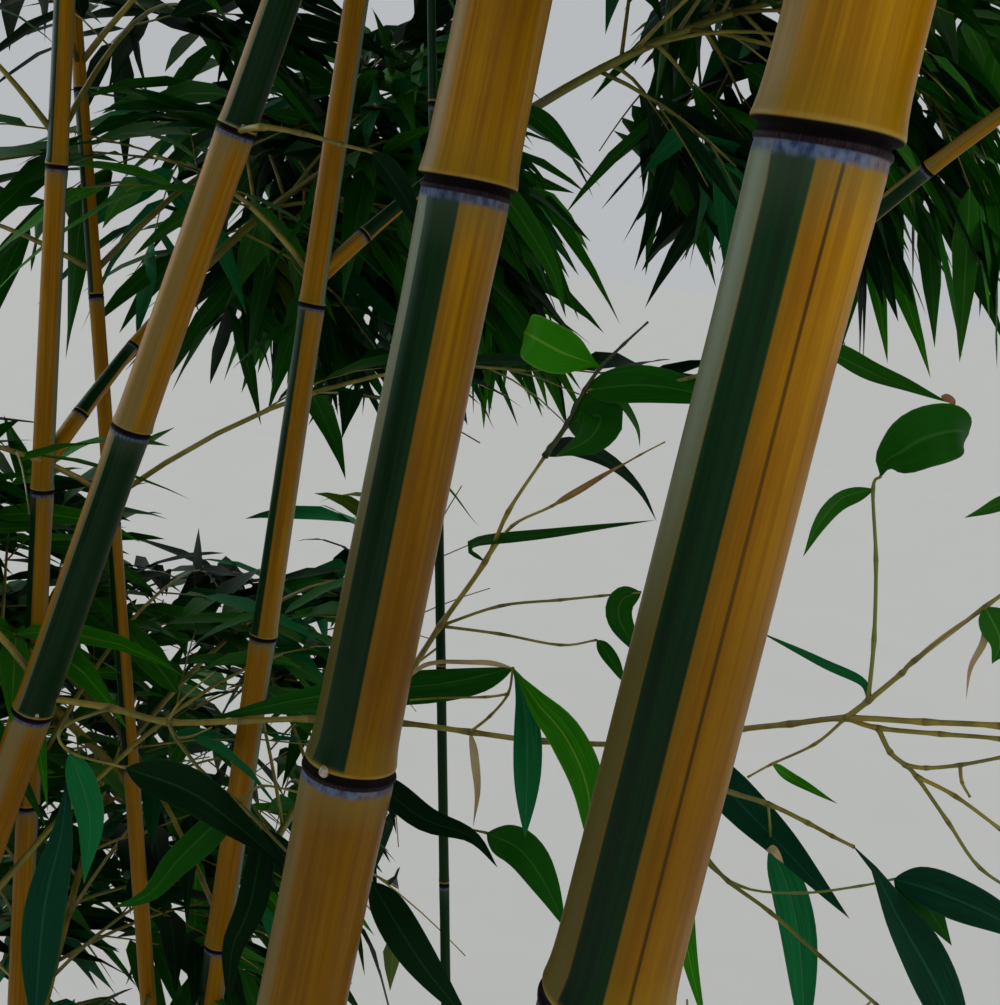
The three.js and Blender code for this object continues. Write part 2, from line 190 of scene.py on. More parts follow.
class Arc:
    """A curve that leaves root in one direction and bends away by drift times its length."""

    def __init__(self, root, heading, length, drift):
        self.root = np.array(root, float)
        self.heading = heading
        self.length = length
        self.drift = np.array(drift, float)

    def point(self, t):
        t = np.asarray(t, float)[..., None]
        return self.root + self.heading * self.length * t + self.drift * self.length * t * t

    def tangent(self, t):
        t = np.asarray(t, float)[..., None]
        return unit(self.heading + 2 * self.drift * t)


def sinking(droop):
    return (0, 0, -droop)


class SourceRandom:
    """The model source's repeatable numbers from 0 to 1."""

    def __init__(self, seed):
        self.state = seed

    def __call__(self):
        self.state = (self.state * 1664525 + 1013904223) & 0xFFFFFFFF
        return self.state / 4294967296


# Culms and what grows from them, by the source's rules

def culm_point(culm, z):
    z = np.asarray(z, float)
    rise = z - SOIL_LEVEL
    past = np.maximum(0, z - BOW_START) / (culm["top"] - BOW_START)
    x = culm["foot"][0] + culm["lean"][0] * rise + culm["bow"][0] * past * past
    y = culm["foot"][1] + culm["lean"][1] * rise + culm["bow"][1] * past * past
    return np.stack([x, y, z], axis=-1)


def culm_tangent(culm, z):
    return unit(culm_point(culm, np.asarray(z) + 0.001) - culm_point(culm, np.asarray(z) - 0.001))


def culm_place(culm, z):
    z = np.asarray(z, float)
    straighten = smoothstep(z, SOIL_LEVEL, SOIL_LEVEL + CULM["foot_flat"])[..., None]
    return culm_point(culm, z), unit(UP + (culm_tangent(culm, z) - UP) * straighten)


def share_of_height(culm, z):
    return np.clip((z - SOIL_LEVEL) / (culm["top"] - SOIL_LEVEL), 0, 1)


def culm_radius(culm, z):
    tip = min(CULM["tip_radius"], culm["radius"] * CULM["tip_share"])
    return tip + (culm["radius"] - tip) * (1 - share_of_height(culm, z) ** CULM["taper_power"])


def internode_at(culm, z):
    h = float(share_of_height(culm, z))
    at = CULM["longest_at"]
    if h < at:
        return culm["internode"] * (CULM["shortest"]
                                    + (1 - CULM["shortest"]) * math.sin(math.pi / 2 * h / at))
    past = ((h - at) / (1 - at)) ** CULM["shortening_power"]
    return culm["internode"] * (1 - CULM["tip_shortening"] * past)


def node_heights(culm):
    above = culm["internode"] * CULM["measured_above"]
    below = culm["internode"] * CULM["measured_below"]
    heights = [culm["node"]]
    while heights[-1] < culm["top"]:
        heights.append(heights[-1] + internode_at(culm, heights[-1] + above))
    while heights[0] > SOIL_LEVEL:
        heights.insert(0, heights[0] - internode_at(culm, heights[0] - below))
    low, high = SOIL_LEVEL + 2 * NODE_ABOVE, culm["top"] - 2 * NODE_ABOVE
    return [z for z in heights if low < z < high]


def culm_named(name):
    return next(culm for culm in CULMS if culm["name"] == name)


def bough_limbs(culm):
    limbs = []
    for k, height in enumerate(culm["boughs"]):
        z = min(node_heights(culm), key=lambda node: abs(node - height)) + NODE_ABOVE
        side = 1 if k % 2 else -1
        shrink = 1 - BOUGH["top_shrink"] * ((z - SOIL_LEVEL) / (culm["top"] - SOIL_LEVEL)) ** 2
        girth = culm["radius"] / BOUGH["full_radius"]
        size = shrink * min(max(girth, BOUGH["smallest"]), BOUGH["largest"])
        heading = direction(culm["facing"] + side * BOUGH["spread"], BOUGH["rise"])
        curve = Arc(culm_point(culm, z), heading, BOUGH["length"] * size, sinking(BOUGH["droop"]))
        limbs.append(dict(name=f"{culm['name']}_{k + 1}", culm=culm, curve=curve, size=size))
    return limbs


def start_after(curve):
    return curve.point(1) + curve.tangent(1) * GAP


def make_mass(name, stem, size, reach):
    return dict(name=name, stem=stem, size=size, middle=stem.point(STEM["middle"]),
                radius=reach * size)


def bough_mass(limb):
    curve = limb["curve"]
    stem = Arc(start_after(curve), curve.tangent(1), STEM["length"] * limb["size"],
               sinking(STEM["droop"]))
    return make_mass(limb["name"], stem, limb["size"], STEM["reach"])


def top_mass(culm):
    size = min(max(culm["radius"] / TOP["full_radius"], TOP["smallest"]), 1)
    heading = culm_tangent(culm, culm["top"])
    stem = Arc(culm_point(culm, culm["top"]) + heading * GAP, heading, STEM["length"] * size,
               sinking(STEM["droop"]))
    return make_mass(culm["name"] + "_top", stem, size, STEM["reach"])


def low_limb(spray):
    culm = culm_named(spray["culm"])
    heading = direction(spray["angle"], spray["rise"])
    curve = Arc(culm_point(culm, spray["height"]), heading, spray["limb"], sinking(0))
    return dict(name=spray["name"], culm=culm, curve=curve, size=spray["size"])


def low_mass(spray):
    culm = culm_named(spray["culm"])
    on_limb = "limb" in spray
    root = start_after(low_limb(spray)["curve"]) if on_limb else culm_point(culm, spray["height"])
    stem = Arc(root, direction(spray["angle"], spray["rise"]), spray["stem"], spray["drift"])
    return make_mass(spray["name"], stem, spray["size"], spray["reach"])


BOUGH_LIMBS = [limb for culm in CULMS for limb in bough_limbs(culm)]
LOW_LIMBS = [low_limb(spray) for spray in LOW_SPRAYS if "limb" in spray]
MASSES = ([bough_mass(limb) for limb in BOUGH_LIMBS] + [top_mass(culm) for culm in CULMS]
          + [low_mass(spray) for spray in LOW_SPRAYS])


# The picture: places named by their pixel and their distance in front of the camera

def camera_axes():
    pitch, roll = math.radians(PICTURE["pitch"]), math.radians(PICTURE["roll"])
    forward = np.array([0, math.cos(pitch), -math.sin(pitch)])
    level_right = np.array([1.0, 0, 0])
    level_up = np.array([0, math.sin(pitch), math.cos(pitch)])
    right = level_right * math.cos(roll) + level_up * math.sin(roll)
    up = level_up * math.cos(roll) - level_right * math.sin(roll)
    return right, up, forward


CAMERA_RIGHT, CAMERA_UP, CAMERA_FORWARD = camera_axes()


def seen(px, py, distance):
    """The point under a pixel that lies distance further along +Y than the camera."""
    x = (px - PICTURE["width"] / 2) / PICTURE["focal"]
    y = (PICTURE["height"] / 2 - py) / PICTURE["focal"]
    ray = CAMERA_FORWARD + CAMERA_RIGHT * x + CAMERA_UP * y
    return CAMERA_AT + ray * (distance / ray[1])


def pixel_of(points):
    """Pixels and depths of points, as arrays px, py and depth along the view."""
    offset = np.asarray(points, float) - CAMERA_AT
    depth = offset @ CAMERA_FORWARD
    safe = np.where(np.abs(depth) < 1e-6, 1e-6, depth)
    px = PICTURE["width"] / 2 + PICTURE["focal"] * (offset @ CAMERA_RIGHT) / safe
    py = PICTURE["height"] / 2 - PICTURE["focal"] * (offset @ CAMERA_UP) / safe
    return px, py, depth


# Meshes

def make_object(name, vertices, face_groups, smooth=True):
    """An object from vertices (n, 3) and groups of faces, each an array (m, corners)."""
    groups = [np.asarray(group, np.int32) for group in face_groups if len(group)]
    corners = np.concatenate([group.ravel() for group in groups])
    sizes = np.concatenate([np.full(len(group), group.shape[1]) for group in groups])
    mesh = bpy.data.meshes.new(name)
    mesh.vertices.add(len(vertices))
    mesh.vertices.foreach_set("co", np.asarray(vertices, np.float32).ravel())
    mesh.loops.add(len(corners))
    mesh.loops.foreach_set("vertex_index", corners)
    mesh.polygons.add(len(sizes))
    first_corners = np.concatenate([[0], np.cumsum(sizes)[:-1]]).astype(np.int32)
    mesh.polygons.foreach_set("loop_start", first_corners)
    mesh.update(calc_edges=True)
    mesh.validate()
    if smooth:
        mesh.shade_smooth()
    piece = bpy.data.objects.new(name, mesh)
    bpy.context.scene.collection.objects.link(piece)
    return piece


def corner_vertices(piece):
    index = np.zeros(len(piece.data.loops), np.int32)
    piece.data.loops.foreach_get("vertex_index", index)
    return index


def add_vectors(piece, name, values, domain="POINT"):
    attribute = piece.data.attributes.new(name, "FLOAT_VECTOR", domain)
    attribute.data.foreach_set("vector", np.asarray(values, np.float32).ravel())


# How the bake map is filled: from MAP_EDGE on, over MAP_SPAN, and HALF_BLADE either side
MAP_EDGE = 0.01
MAP_SPAN = 0.98
HALF_BLADE = 0.48


def add_bake_map(piece, corner_uv):
    layer = piece.data.uv_layers.new(name="OFBake")
    layer.data.foreach_set("uv", np.asarray(corner_uv, np.float32).ravel())


def map_blades(piece, values):
    """Lays blades on the bake map by their values (across, along) at each vertex."""
    uv = np.column_stack([0.5 + values[:, 0] * HALF_BLADE, MAP_EDGE + values[:, 1] * MAP_SPAN])
    add_bake_map(piece, uv[corner_vertices(piece)])


def turn_from_up(tangents):
    """Rotation matrices (n, 3, 3) that carry +Z to each tangent by the shortest turn."""
    v = np.cross(UP, tangents)
    c = tangents[:, 2]
    zero = np.zeros(len(v))
    cross = np.stack([
        np.stack([zero, -v[:, 2], v[:, 1]], -1),
        np.stack([v[:, 2], zero, -v[:, 0]], -1),
        np.stack([-v[:, 1], v[:, 0], zero], -1),
    ], axis=1)
    return np.eye(3) + cross + cross @ cross / (1 + c)[:, None, None]


def ring_faces(rings, sides, closed=True):
    """Quads between successive rings of vertices."""
    row = np.arange(rings - 1)[:, None] * sides
    column = np.arange(sides if closed else sides - 1)[None, :]
    after = (column + 1) % sides
    quads = np.stack([row + column, row + after, row + sides + after, row + sides + column], -1)
    return quads.reshape(-1, 4)


# Culms and boughs: a ringed limb whose nodes each have a ledge, a dark groove, a lip and a
# waxy band under it. Each pair is an offset from the node and a share of the limb's radius, for
# a culm of FULL_NODE_RADIUS. The offsets shrink with a thinner culm, down to SMALLEST_NODE.

FULL_NODE_RADIUS = 0.0232
SMALLEST_NODE = 0.45
NODE_PROFILE = [
    (-0.055, 1.000), (-0.038, 1.010), (-0.026, 1.024), (-0.016, 1.036), (-0.0085, 1.042),
    (-0.0052, 1.038), (-0.0040, 1.032), (-0.0034, 1.052), (-0.0028, 1.070), (-0.0020, 1.074),
    (-0.0013, 1.058), (-0.0007, 1.024), (0.0004, 1.010), (0.0014, 1.022), (0.0022, 1.060),
    (0.0026, 1.078), (0.0034, 1.084), (0.0048, 1.074), (0.0072, 1.056), (0.0102, 1.039),
    (0.0145, 1.025), (0.020, 1.015), (0.032, 1.008), (0.055, 1.002),
]
NEXT_STARTS_AT = 0.0018
GROOVE = dict(depth=0.070, width=0.62, above=0.004, below=0.006, fade=0.016)
MIDDLE_STEP = 0.030
# How far a limb is out of round, and how far its rings tilt within reach of a node
UNEVEN = dict(round=0.006, tilt=0.0005, reach=0.006)
PAST_END = 0.1
MAP_ROWS = 2
# A culm thicker than this radius has this many sides
CULM_SIDES = ((0.02, 72), (0.01, 40), (0.0, 24))
BOUGH_LOOK = dict(sides=16, scale=0.36, stripe=90, stripe_width=110, seed=100, sunk=0.5,
                  first_node=0.6, bare_tip=0.02)


def limb_rings(nodes, start, end, scale):
    """Places of the rings along a limb, with each one's profile factor."""
    rings = [(start, 1.0), (end, 1.0)]
    for i, node in enumerate(nodes):
        before = nodes[i - 1] if i else start
        after = nodes[i + 1] if i + 1 < len(nodes) else end
        for offset, factor in NODE_PROFILE:
            place = node + offset * scale
            if (before + node) / 2 < place < (node + after) / 2:
                rings.append((place, factor))
    rings.sort()
    filled = [rings[0]]
    for place, factor in rings[1:]:
        last_place, last_factor = filled[-1]
        extra = int((place - last_place) / MIDDLE_STEP)
        for k in range(1, extra + 1):
            share = k / (extra + 1)
            filled.append((last_place + (place - last_place) * share,
                           last_factor + (factor - last_factor) * share))
        filled.append((place, factor))
    return np.array(filled)


class Parts:
    """The parts of a limb between its nodes, with the stripe on the other side in each next one.
    girths is None or the place that the stripe's side counts from and each part's own girth."""

    def __init__(self, nodes, start, end, scale, stripe, girths):
        self.count = len(nodes) + 1
        self.switch = np.array(nodes) + NEXT_STARTS_AT * scale
        self.edges = np.concatenate([[start - PAST_END], nodes, [end + PAST_END]])
        first = int(np.searchsorted(self.switch, girths["from"])) if girths else 0
        self.stripe = np.radians(stripe) + math.pi * ((np.arange(self.count) - first) % 2)
        own = girths["of"] if girths else {}
        self.girth = np.array([own.get(k, 1.0) for k in range(self.count)])

    def at(self, s):
        return np.searchsorted(self.switch, s, side="right")


def limb_vertices(s, factor, part, parts, places, radius, angle, scale, rng):
    """The rings of a limb, hollowed along its stripe and a little out of round."""
    above = s - parts.edges[part]
    below = parts.edges[part + 1] - s
    fade = smoothstep(above, GROOVE["above"] * scale, GROOVE["fade"] * scale)
    fade = fade * smoothstep(below, GROOVE["below"] * scale, GROOVE["fade"] * scale)
    turn = angle[None, :] - parts.stripe[part][:, None]
    turn = (turn + math.pi) % (2 * math.pi) - math.pi
    hollow = GROOVE["depth"] * np.exp(-(turn / GROOVE["width"]) ** 2) * fade[:, None]
    wobble = 1 + UNEVEN["round"] * np.sin(3 * angle + rng.uniform(0, 6))[None, :]
    r = (radius(s) * factor * parts.girth[part])[:, None] * (1 - hollow) * wobble
    near_node = np.exp(-(np.minimum(above, below) / (UNEVEN["reach"] * scale)) ** 2)
    waves = np.sin(2 * angle + rng.uniform(0, 6))[None, :]
    lift = UNEVEN["tilt"] * scale * near_node[:, None] * waves
    point, tangent = places(s)
    local = np.stack([r * np.cos(angle), r * np.sin(angle), lift + np.zeros_like(r)], -1)
    return point[:, None, :] + np.einsum("nij,nkj->nki", turn_from_up(tangent), local)


def limb_map(column, upward, corner_part, count):
    """Places on the bake map, where each part has a cell of its own."""
    columns = math.ceil(count / MAP_ROWS)
    return np.stack([(corner_part // MAP_ROWS + MAP_EDGE + MAP_SPAN * column) / columns,
                     (corner_part % MAP_ROWS + MAP_EDGE + MAP_SPAN * upward) / MAP_ROWS], -1)


def limb_piece(places, radius, nodes, start, end, sides, scale, stripe, stripe_width, seed,
               girths=None, hairline=0.0, painted_low_shade=0.0):
    """Vertices, faces and corner values of a ringed limb. places(s) gives points and tangents
    along it."""
    rng = np.random.default_rng(seed)
    s, factor = limb_rings(nodes, start, end, scale).T
    parts = Parts(nodes, start, end, scale, stripe, girths)
    part = parts.at(s)
    angle = np.arange(sides) / sides * 2 * math.pi
    vertices = limb_vertices(s, factor, part, parts, places, radius, angle, scale, rng)
    faces = ring_faces(len(s), sides)
    corner_angle = angle[faces.reshape(-1) % sides]
    corner_s = s[faces.reshape(-1) // sides]
    corner_part = np.repeat(part[:-1], sides * 4)
    low = parts.edges[corner_part]
    high = parts.edges[corner_part + 1]
    shift = corner_angle - parts.stripe[corner_part]
    own = rng.uniform(0, 1, parts.count)[corner_part]
    half_width = math.radians(stripe_width) / 2
    around = np.stack([np.cos(shift), np.sin(shift), np.full(len(shift), half_width)], -1)
    along = np.stack([(corner_s - low) / scale, (high - corner_s) / scale, own], -1)
    # lines holds the hairline's angle, how strongly painted shade darkens the limb towards the soil,
    # and the distance from the limb's start
    lines = np.stack([np.full(len(shift), hairline), np.full(len(shift), painted_low_shade),
                      corner_s - start], -1)
    wraps = np.tile(np.arange(sides) == sides - 1, len(s) - 1)
    column = corner_angle / (2 * math.pi) + np.repeat(wraps, 4) * np.tile([0, 1, 1, 0], len(faces))
    upward = np.clip((corner_s - low) / (high - low), 0, 1)
    caps = [np.arange(sides)[None, ::-1], np.arange(sides)[None, :] + (len(s) - 1) * sides]
    return dict(vertices=vertices.reshape(-1, 3), faces=faces, caps=caps, around=around,
                along=along, uv=limb_map(column, upward, corner_part, parts.count), lines=lines)


def join_limbs(name, parts):
    """One object from several ringed limbs. Their flat ends come last among its faces."""
    start = np.cumsum([0] + [len(p["vertices"]) for p in parts])
    quads = np.concatenate([p["faces"] + o for p, o in zip(parts, start)])
    sides = {p["caps"][0].shape[1] for p in parts}
    caps = [np.concatenate([cap + o for p, o in zip(parts, start) for cap in p["caps"]
                            if cap.shape[1] == n]) for n in sorted(sides)]
    piece = make_object(name, np.concatenate([p["vertices"] for p in parts]), [quads] + caps)
    spare = len(piece.data.loops) - quads.size
    for key in ("around", "along", "lines"):
        values = np.concatenate([p[key] for p in parts])
        add_vectors(piece, key, np.concatenate([values, np.tile(values[-1], (spare, 1))]), "CORNER")
    band = 1 / len(parts)
    uv = np.concatenate([p["uv"] * (1, band) + (0, band * k) for k, p in enumerate(parts)])
    add_bake_map(piece, np.concatenate([uv, np.tile(uv[-1], (spare, 1))]))
    return piece


def culm_sides(culm):
    return next(sides for radius, sides in CULM_SIDES if culm["radius"] > radius)


def build_culm(culm, seed):
    nodes = node_heights(culm)
    scale = min(max(culm["radius"] / FULL_NODE_RADIUS, SMALLEST_NODE), 1)
    own = {nodes.index(min(nodes, key=lambda n: abs(n - z))) + 1: girth
           for z, girth in culm.get("girths", {}).items()}
    first = min(nodes, key=lambda n: abs(n - culm["node"]))
    girths = {"from": first + 0.05, "of": own}
    part = limb_piece(lambda z: culm_place(culm, z), lambda z: culm_radius(culm, z), nodes,
                      SOIL_LEVEL + GAP, culm["top"], culm_sides(culm), scale, culm["stripe"],
                      culm["stripe_width"], seed, girths, culm.get("hairline", 0),
                      culm.get("painted_low_shade", PAINTED_LOW_SHADE_SHARE))
    return join_limbs("striped_culm_" + culm["name"], [part])


def bough_radius(curve, s):
    return BOUGH["radius"] + (BOUGH["tip_radius"] - BOUGH["radius"]) * (s / curve.length)


def bough_place(curve, s):
    return curve.point(s / curve.length), curve.tangent(s / curve.length)


def build_boughs():
    look = BOUGH_LOOK
    parts = []
    for k, limb in enumerate(BOUGH_LIMBS):
        curve = limb["curve"]
        inside = culm_radius(limb["culm"], curve.root[2]) * look["sunk"]
        nodes = list(np.arange(inside + BOUGH["internode"] * look["first_node"],
                               curve.length - look["bare_tip"], BOUGH["internode"]))
        parts.append(limb_piece(
            lambda s: bough_place(curve, s), lambda s: bough_radius(curve, s), nodes, inside,
            curve.length, look["sides"], look["scale"], look["stripe"], look["stripe_width"],
            look["seed"] + k))
    return join_limbs("ringed_boughs", parts)


# Twigs: tapering tubes through points, all with the same number of points in one call

# A twig steeper than this takes its sides from +X, where others take them from +Z
STEEP = 0.9


def tubes(points, radii, sides):
    """Vertices and face groups of n tubes, from points (n, k, 3) and radii (n, k)."""
    points = np.asarray(points, float)
    n, k = points.shape[:2]
    tangent = unit(np.gradient(points, axis=1))
    steep = np.abs(tangent[:, :1, 2]) > STEEP
    reference = np.where(steep[..., None], np.array([1.0, 0, 0]), UP)
    side = unit(np.cross(tangent, reference))
    over = np.cross(side, tangent)
    angle = np.arange(sides) / sides * 2 * math.pi
    ring = (side[:, :, None, :] * np.cos(angle)[:, None]
            + over[:, :, None, :] * np.sin(angle)[:, None])
    vertices = points[:, :, None, :] + ring * np.asarray(radii)[:, :, None, None]
    base = (np.arange(n) * k * sides)[:, None, None]
    quads = (ring_faces(k, sides)[None] + base).reshape(-1, 4)
    ends = (np.arange(sides)[None, None] + np.array([0, (k - 1) * sides])[None, :, None] + base)
    ends[:, 0] = ends[:, 0, ::-1]
    return vertices.reshape(-1, 3), [quads, ends.reshape(-1, sides)]


class Heap:
    """Meshes gathered into one object: their vertices, faces and one vector for each vertex."""

    def __init__(self):
        self.vertices, self.groups, self.values, self.count = [], {}, [], 0

    def add(self, vertices, groups, values):
        for group in groups:
            self.groups.setdefault(group.shape[1], []).append(group + self.count)
        self.vertices.append(vertices)
        self.values.append(values)
        self.count += len(vertices)

    def build(self, name, attribute):
        groups = [np.concatenate(self.groups[size]) for size in sorted(self.groups)]
        piece = make_object(name, np.concatenate(self.vertices), groups)
        add_vectors(piece, attribute, np.concatenate(self.values))
        return piece


def curve_tubes(heap, arcs, size, sides, steps, rng):
    """Arcs as tubes in a heap, from the radius to the tip_radius that size gives."""
    if not arcs:
        return
    t = np.linspace(0, 1, steps + 1)
    points = np.stack([arc.point(t) for arc in arcs])
    taper = np.linspace(size["radius"], size["tip_radius"], steps + 1)
    vertices, groups = tubes(points, np.tile(taper, (len(arcs), 1)), sides)
    own = np.repeat(rng.uniform(0, 1, len(arcs)), (steps + 1) * sides)
    place = np.tile(np.repeat(t, sides), len(arcs))
    heap.add(vertices, groups, np.stack([place, own, own * 0], -1))


# Leaves: lance-shaped blades on a bent middle line, folded a little along it

OUTLINE = [(0.05, 0.42), (0.14, 0.82), (0.28, 1.0), (0.46, 0.95), (0.64, 0.72), (0.81, 0.40),
           (0.93, 0.15)]
FAR_OUTLINE = [(0.10, 0.66), (0.32, 1.0), (0.62, 0.74), (0.86, 0.28)]
FAR_COLUMNS = 3
TWIST_FROM = 0.3


def rolled(across, face, angle):
    """The two directions across a blade and out of its face, turned by angle about its line."""
    c, s = np.cos(angle), np.sin(angle)
    return across * c + face * s, face * c - across * s


def blades(start, middle, tip, width, normal, fold, twist, outline, columns):
    """Vertices, faces and blade values (across, along) of n leaves. start, middle and tip are
    the bent middle line's control points, (n, 3) each, and normal its upper side."""
    t = np.array([p[0] for p in outline])
    share = np.array([p[1] for p in outline])
    n, rows = len(start), len(t)
    tt = t[None, :, None]
    centre = ((1 - tt) ** 2 * start[:, None] + 2 * tt * (1 - tt) * middle[:, None]
              + tt ** 2 * tip[:, None])
    tangent = unit((1 - tt) * (middle - start)[:, None] + tt * (tip - middle)[:, None])
    across = unit(np.cross(tangent, normal[:, None]))
    face = np.cross(across, tangent)
    across, face = rolled(across, face, (twist[:, None] * (t - TWIST_FROM))[..., None])
    u = np.linspace(-1, 1, columns)
    half = (width[:, None] * share / 2)[:, :, None, None]
    lift = np.abs(u)[:, None] * np.sin(fold)
    spread = u[:, None] * np.cos(fold)
    grid = centre[:, :, None] + half * (across[:, :, None] * spread + face[:, :, None] * lift)
    vertices = np.concatenate([start[:, None], grid.reshape(n, rows * columns, 3), tip[:, None]], 1)
    size = rows * columns + 2
    first = np.arange(columns - 1) + 1
    last = first + (rows - 1) * columns
    root_faces = np.stack([np.zeros_like(first), first + 1, first], -1)
    tip_faces = np.stack([np.full_like(first, size - 1), last, last + 1], -1)
    quads = ring_faces(rows, columns, closed=False) + 1
    base = (np.arange(n) * size)[:, None, None]
    triangles = (np.concatenate([root_faces, tip_faces])[None] + base).reshape(-1, 3)
    quads = (quads[None] + base).reshape(-1, 4)
    along = np.concatenate([[0], np.repeat(t, columns), [1]])
    side = np.concatenate([[0], np.tile(u, rows), [0]])
    return vertices.reshape(-1, 3), [triangles, quads], np.tile(np.stack([side, along], -1), (n, 1))


class LeafBed:
    """Leaves gathered by shade, and built as one joined piece for each."""

    def __init__(self, outline, columns):
        self.outline, self.columns, self.rows = outline, columns, {}

    def add(self, shade, *row):
        """row is the start, middle, tip, width, normal and twist of some leaves."""
        self.rows.setdefault(shade, []).append(row)

    def build(self, prefix, rng):
        pieces = {}
        for shade, rows in self.rows.items():
            start, middle, tip, width, normal, twist = (np.concatenate(x) for x in zip(*rows))
            vertices, groups, values = blades(start, middle, tip, width, normal, LEAF["fold"],
                                              twist, self.outline, self.columns)
            each = len(vertices) // len(start)
            own = np.repeat(rng.uniform(0, 1, len(start)), each)
            piece = make_object(f"{prefix}_{shade}", vertices, groups)
            add_vectors(piece, "blade", np.column_stack([values, own]))
            map_blades(piece, values)
            pieces[shade] = piece
        return pieces


# Foliage: the source's twigs, more between them, and a leafy spray for each of its leaves

CENTRES = np.array([mass["middle"] for mass in MASSES])
REACHES = np.array([mass["radius"] for mass in MASSES])
BOX_LOW, BOX_HIGH = (np.array(corner) for corner in cad_box)


def in_room(index, points):
    """Which of the points lie in a mass's own room, and in the plant's box."""
    square = ((points[:, None] - CENTRES[None]) ** 2).sum(-1)
    own = square[:, index]
    apart = np.linalg.norm(CENTRES - CENTRES[index], axis=1)
    nearer = own[:, None] + 2 * ROOM_MARGIN * apart[None] < square
    nearer[:, index] = True
    boxed = ((points > BOX_LOW) & (points < BOX_HIGH)).all(-1)
    return (own < REACHES[index] ** 2) & nearer.all(1) & boxed


def clear_of_culms(points):
    clear = np.ones(len(points), bool)
    for culm in CULMS:
        z = np.clip(points[:, 2], SOIL_LEVEL, culm["top"])
        away = np.linalg.norm(points - culm_point(culm, z), axis=1)
        clear &= away > culm_radius(culm, z) * FLANGE + LIMB_MARGIN
    return clear


# The photograph is open here: from and to across, from and to down, and how far off in metres
# the leaves that aren't placed by hand keep from the camera there
OPEN_AREAS = [
    (-60, 1060, -60, 1065, 0.66),
    (520, 1060, -60, 1065, 0.80),
    (430, 640, 430, 1065, 2.50),
    (400, 640, 640, 1065, 2.50),
    (640, 1060, 450, 1065, 2.50),
]


def leaves_view_open(points):
    px, py, depth = pixel_of(points)
    blocks = np.zeros(len(points), bool)
    for left, right, top, bottom, nearest in OPEN_AREAS:
        inside = (px > left) & (px < right) & (py > top) & (py < bottom)
        blocks |= inside & (depth > 0) & (depth < nearest)
    return ~blocks


def twig_arc(mass, t, index, last, length_draw):
    along = mass["stem"].tangent(t)
    side = turned_about(unit(np.cross(along, UP)), along, math.radians(TWIG["turn"] * index))
    a = math.radians(TWIG["angle"])
    heading = along if last else along * math.cos(a) + side * math.sin(a)
    length = TWIG["length"] * mass["size"] * (TWIG["least"] + TWIG["more"] * length_draw)
    return Arc(mass["stem"].point(t), heading, length, sinking(TWIG["droop"]))


def spray_heading(twig, place, index, random):
    along = twig.tangent(place)
    side = unit(np.cross(along, UP))
    spread = 0.0
    if index:
        spread = math.radians(SPRAY["spread"] * (SPRAY["least"] + SPRAY["more"] * random()))
        spread *= 1 if index % 2 else -1
    heading = along * math.cos(spread) + side * math.sin(spread)
    return unit(heading - UP * SPRAY["droop"] * random())


def leafy_spray(bed, arc, rng, inside):
    """Leaves in two ranks along a fine twig, the last one going on from its tip. inside says
    which points have room."""
    count = LEAVES_PER_SPRAY
    place = np.linspace(LEAF["first"], 1, count)
    along = arc.tangent(place)
    side = unit(np.cross(along, UP))
    sign = np.where(np.arange(count) % 2, 1.0, -1.0)
    sign[-1] = 0
    angle = np.radians(LEAF["angle"]) * rng.uniform(*LEAF["angle_range"], count)
    heading = (along * np.cos(angle * np.abs(sign))[:, None]
               + side * (np.sin(angle) * sign)[:, None])
    heading = unit(heading + rng.normal(0, LEAF["waver"], (count, 3)))
    length = LEAF["length"] * rng.uniform(*LEAF["length_range"], count)
    droop = LEAF["droop"] * rng.uniform(*LEAF["droop_range"], count)
    start = arc.point(place)
    middle = start + heading * (length / 2)[:, None]
    tip = start + (heading - UP * droop[:, None]) * length[:, None]
    normal = unit(UP + rng.normal(0, LEAF["tilt"], (count, 3)))
    width = LEAF["width"] * length / LEAF["length"] * rng.uniform(*LEAF["width_range"], count)
    fits = leaves_view_open(start)
    for points in ((start + 2 * middle + tip) / 4, tip):
        fits &= inside(points) & clear_of_culms(points) & leaves_view_open(points)
    if not fits.any():
        return False
    shade = rng.choice(list(SHADES), p=list(SHADES.values()))
    bed.add(shade, start[fits], middle[fits], tip[fits], width[fits], normal[fits],
            rng.normal(0, LEAF["twist"], count)[fits])
    return True


def fill_mass(index, bed, arcs):
    """One mass's stem, twigs and leafy sprays."""
    mass = MASSES[index]
    source = SourceRandom(index + 1)
    rng = np.random.default_rng(1000 + index)
    count = TWIG["count"] * TWIGS_PER_TWIG
    for i in range(count):
        from_source = (i + 1) % TWIGS_PER_TWIG == 0
        random = source if from_source else rng.random
        t = TWIG["first"] + (1 - TWIG["first"]) * (i + 1) / count
        between = i * EXTRA_TURN["step"] + EXTRA_TURN["first"]
        turn_index = (i + 1) // TWIGS_PER_TWIG - 1 if from_source else between
        twig = twig_arc(mass, t, turn_index, i == count - 1, random())
        grown = False
        for k in range(SPRAY["per_twig"]):
            place = 1 - SPRAY["apart"] * k
            heading = spray_heading(twig, place, k, random)
            random()
            length = max(SPRAY["length"] * mass["size"] - LEAF["length"], SPRAY["shortest"])
            arc = Arc(twig.point(place), heading, length, sinking(SPRAY["sag"]))
            if leafy_spray(bed, arc, rng, lambda points: in_room(index, points)):
                arcs["sprays"].append(arc)
                grown = True
        if grown:
            arcs["twigs"].append(twig)


# Slender boughs grow in pairs from a culm's leafy nodes, or singly from one that has a bough. They
# keep only the leaves that the masses have room for. Angles are in degrees.

SLENDER = dict(length=0.30, rise=42, spread=50, droop=0.34, radius=0.0021, tip_radius=0.0009,
               twigs=(0.34, 0.48, 0.62, 0.76, 0.90, 1.0), twig_length=0.135, angle=42,
               spread_waver=14, rise_waver=9, twig_waver=0.15, twig_droop=0.25,
               length_range=(0.7, 1.25), angle_range=(0.7, 1.3), twig_range=(0.7, 1.2))
SAME_NODE = 0.002


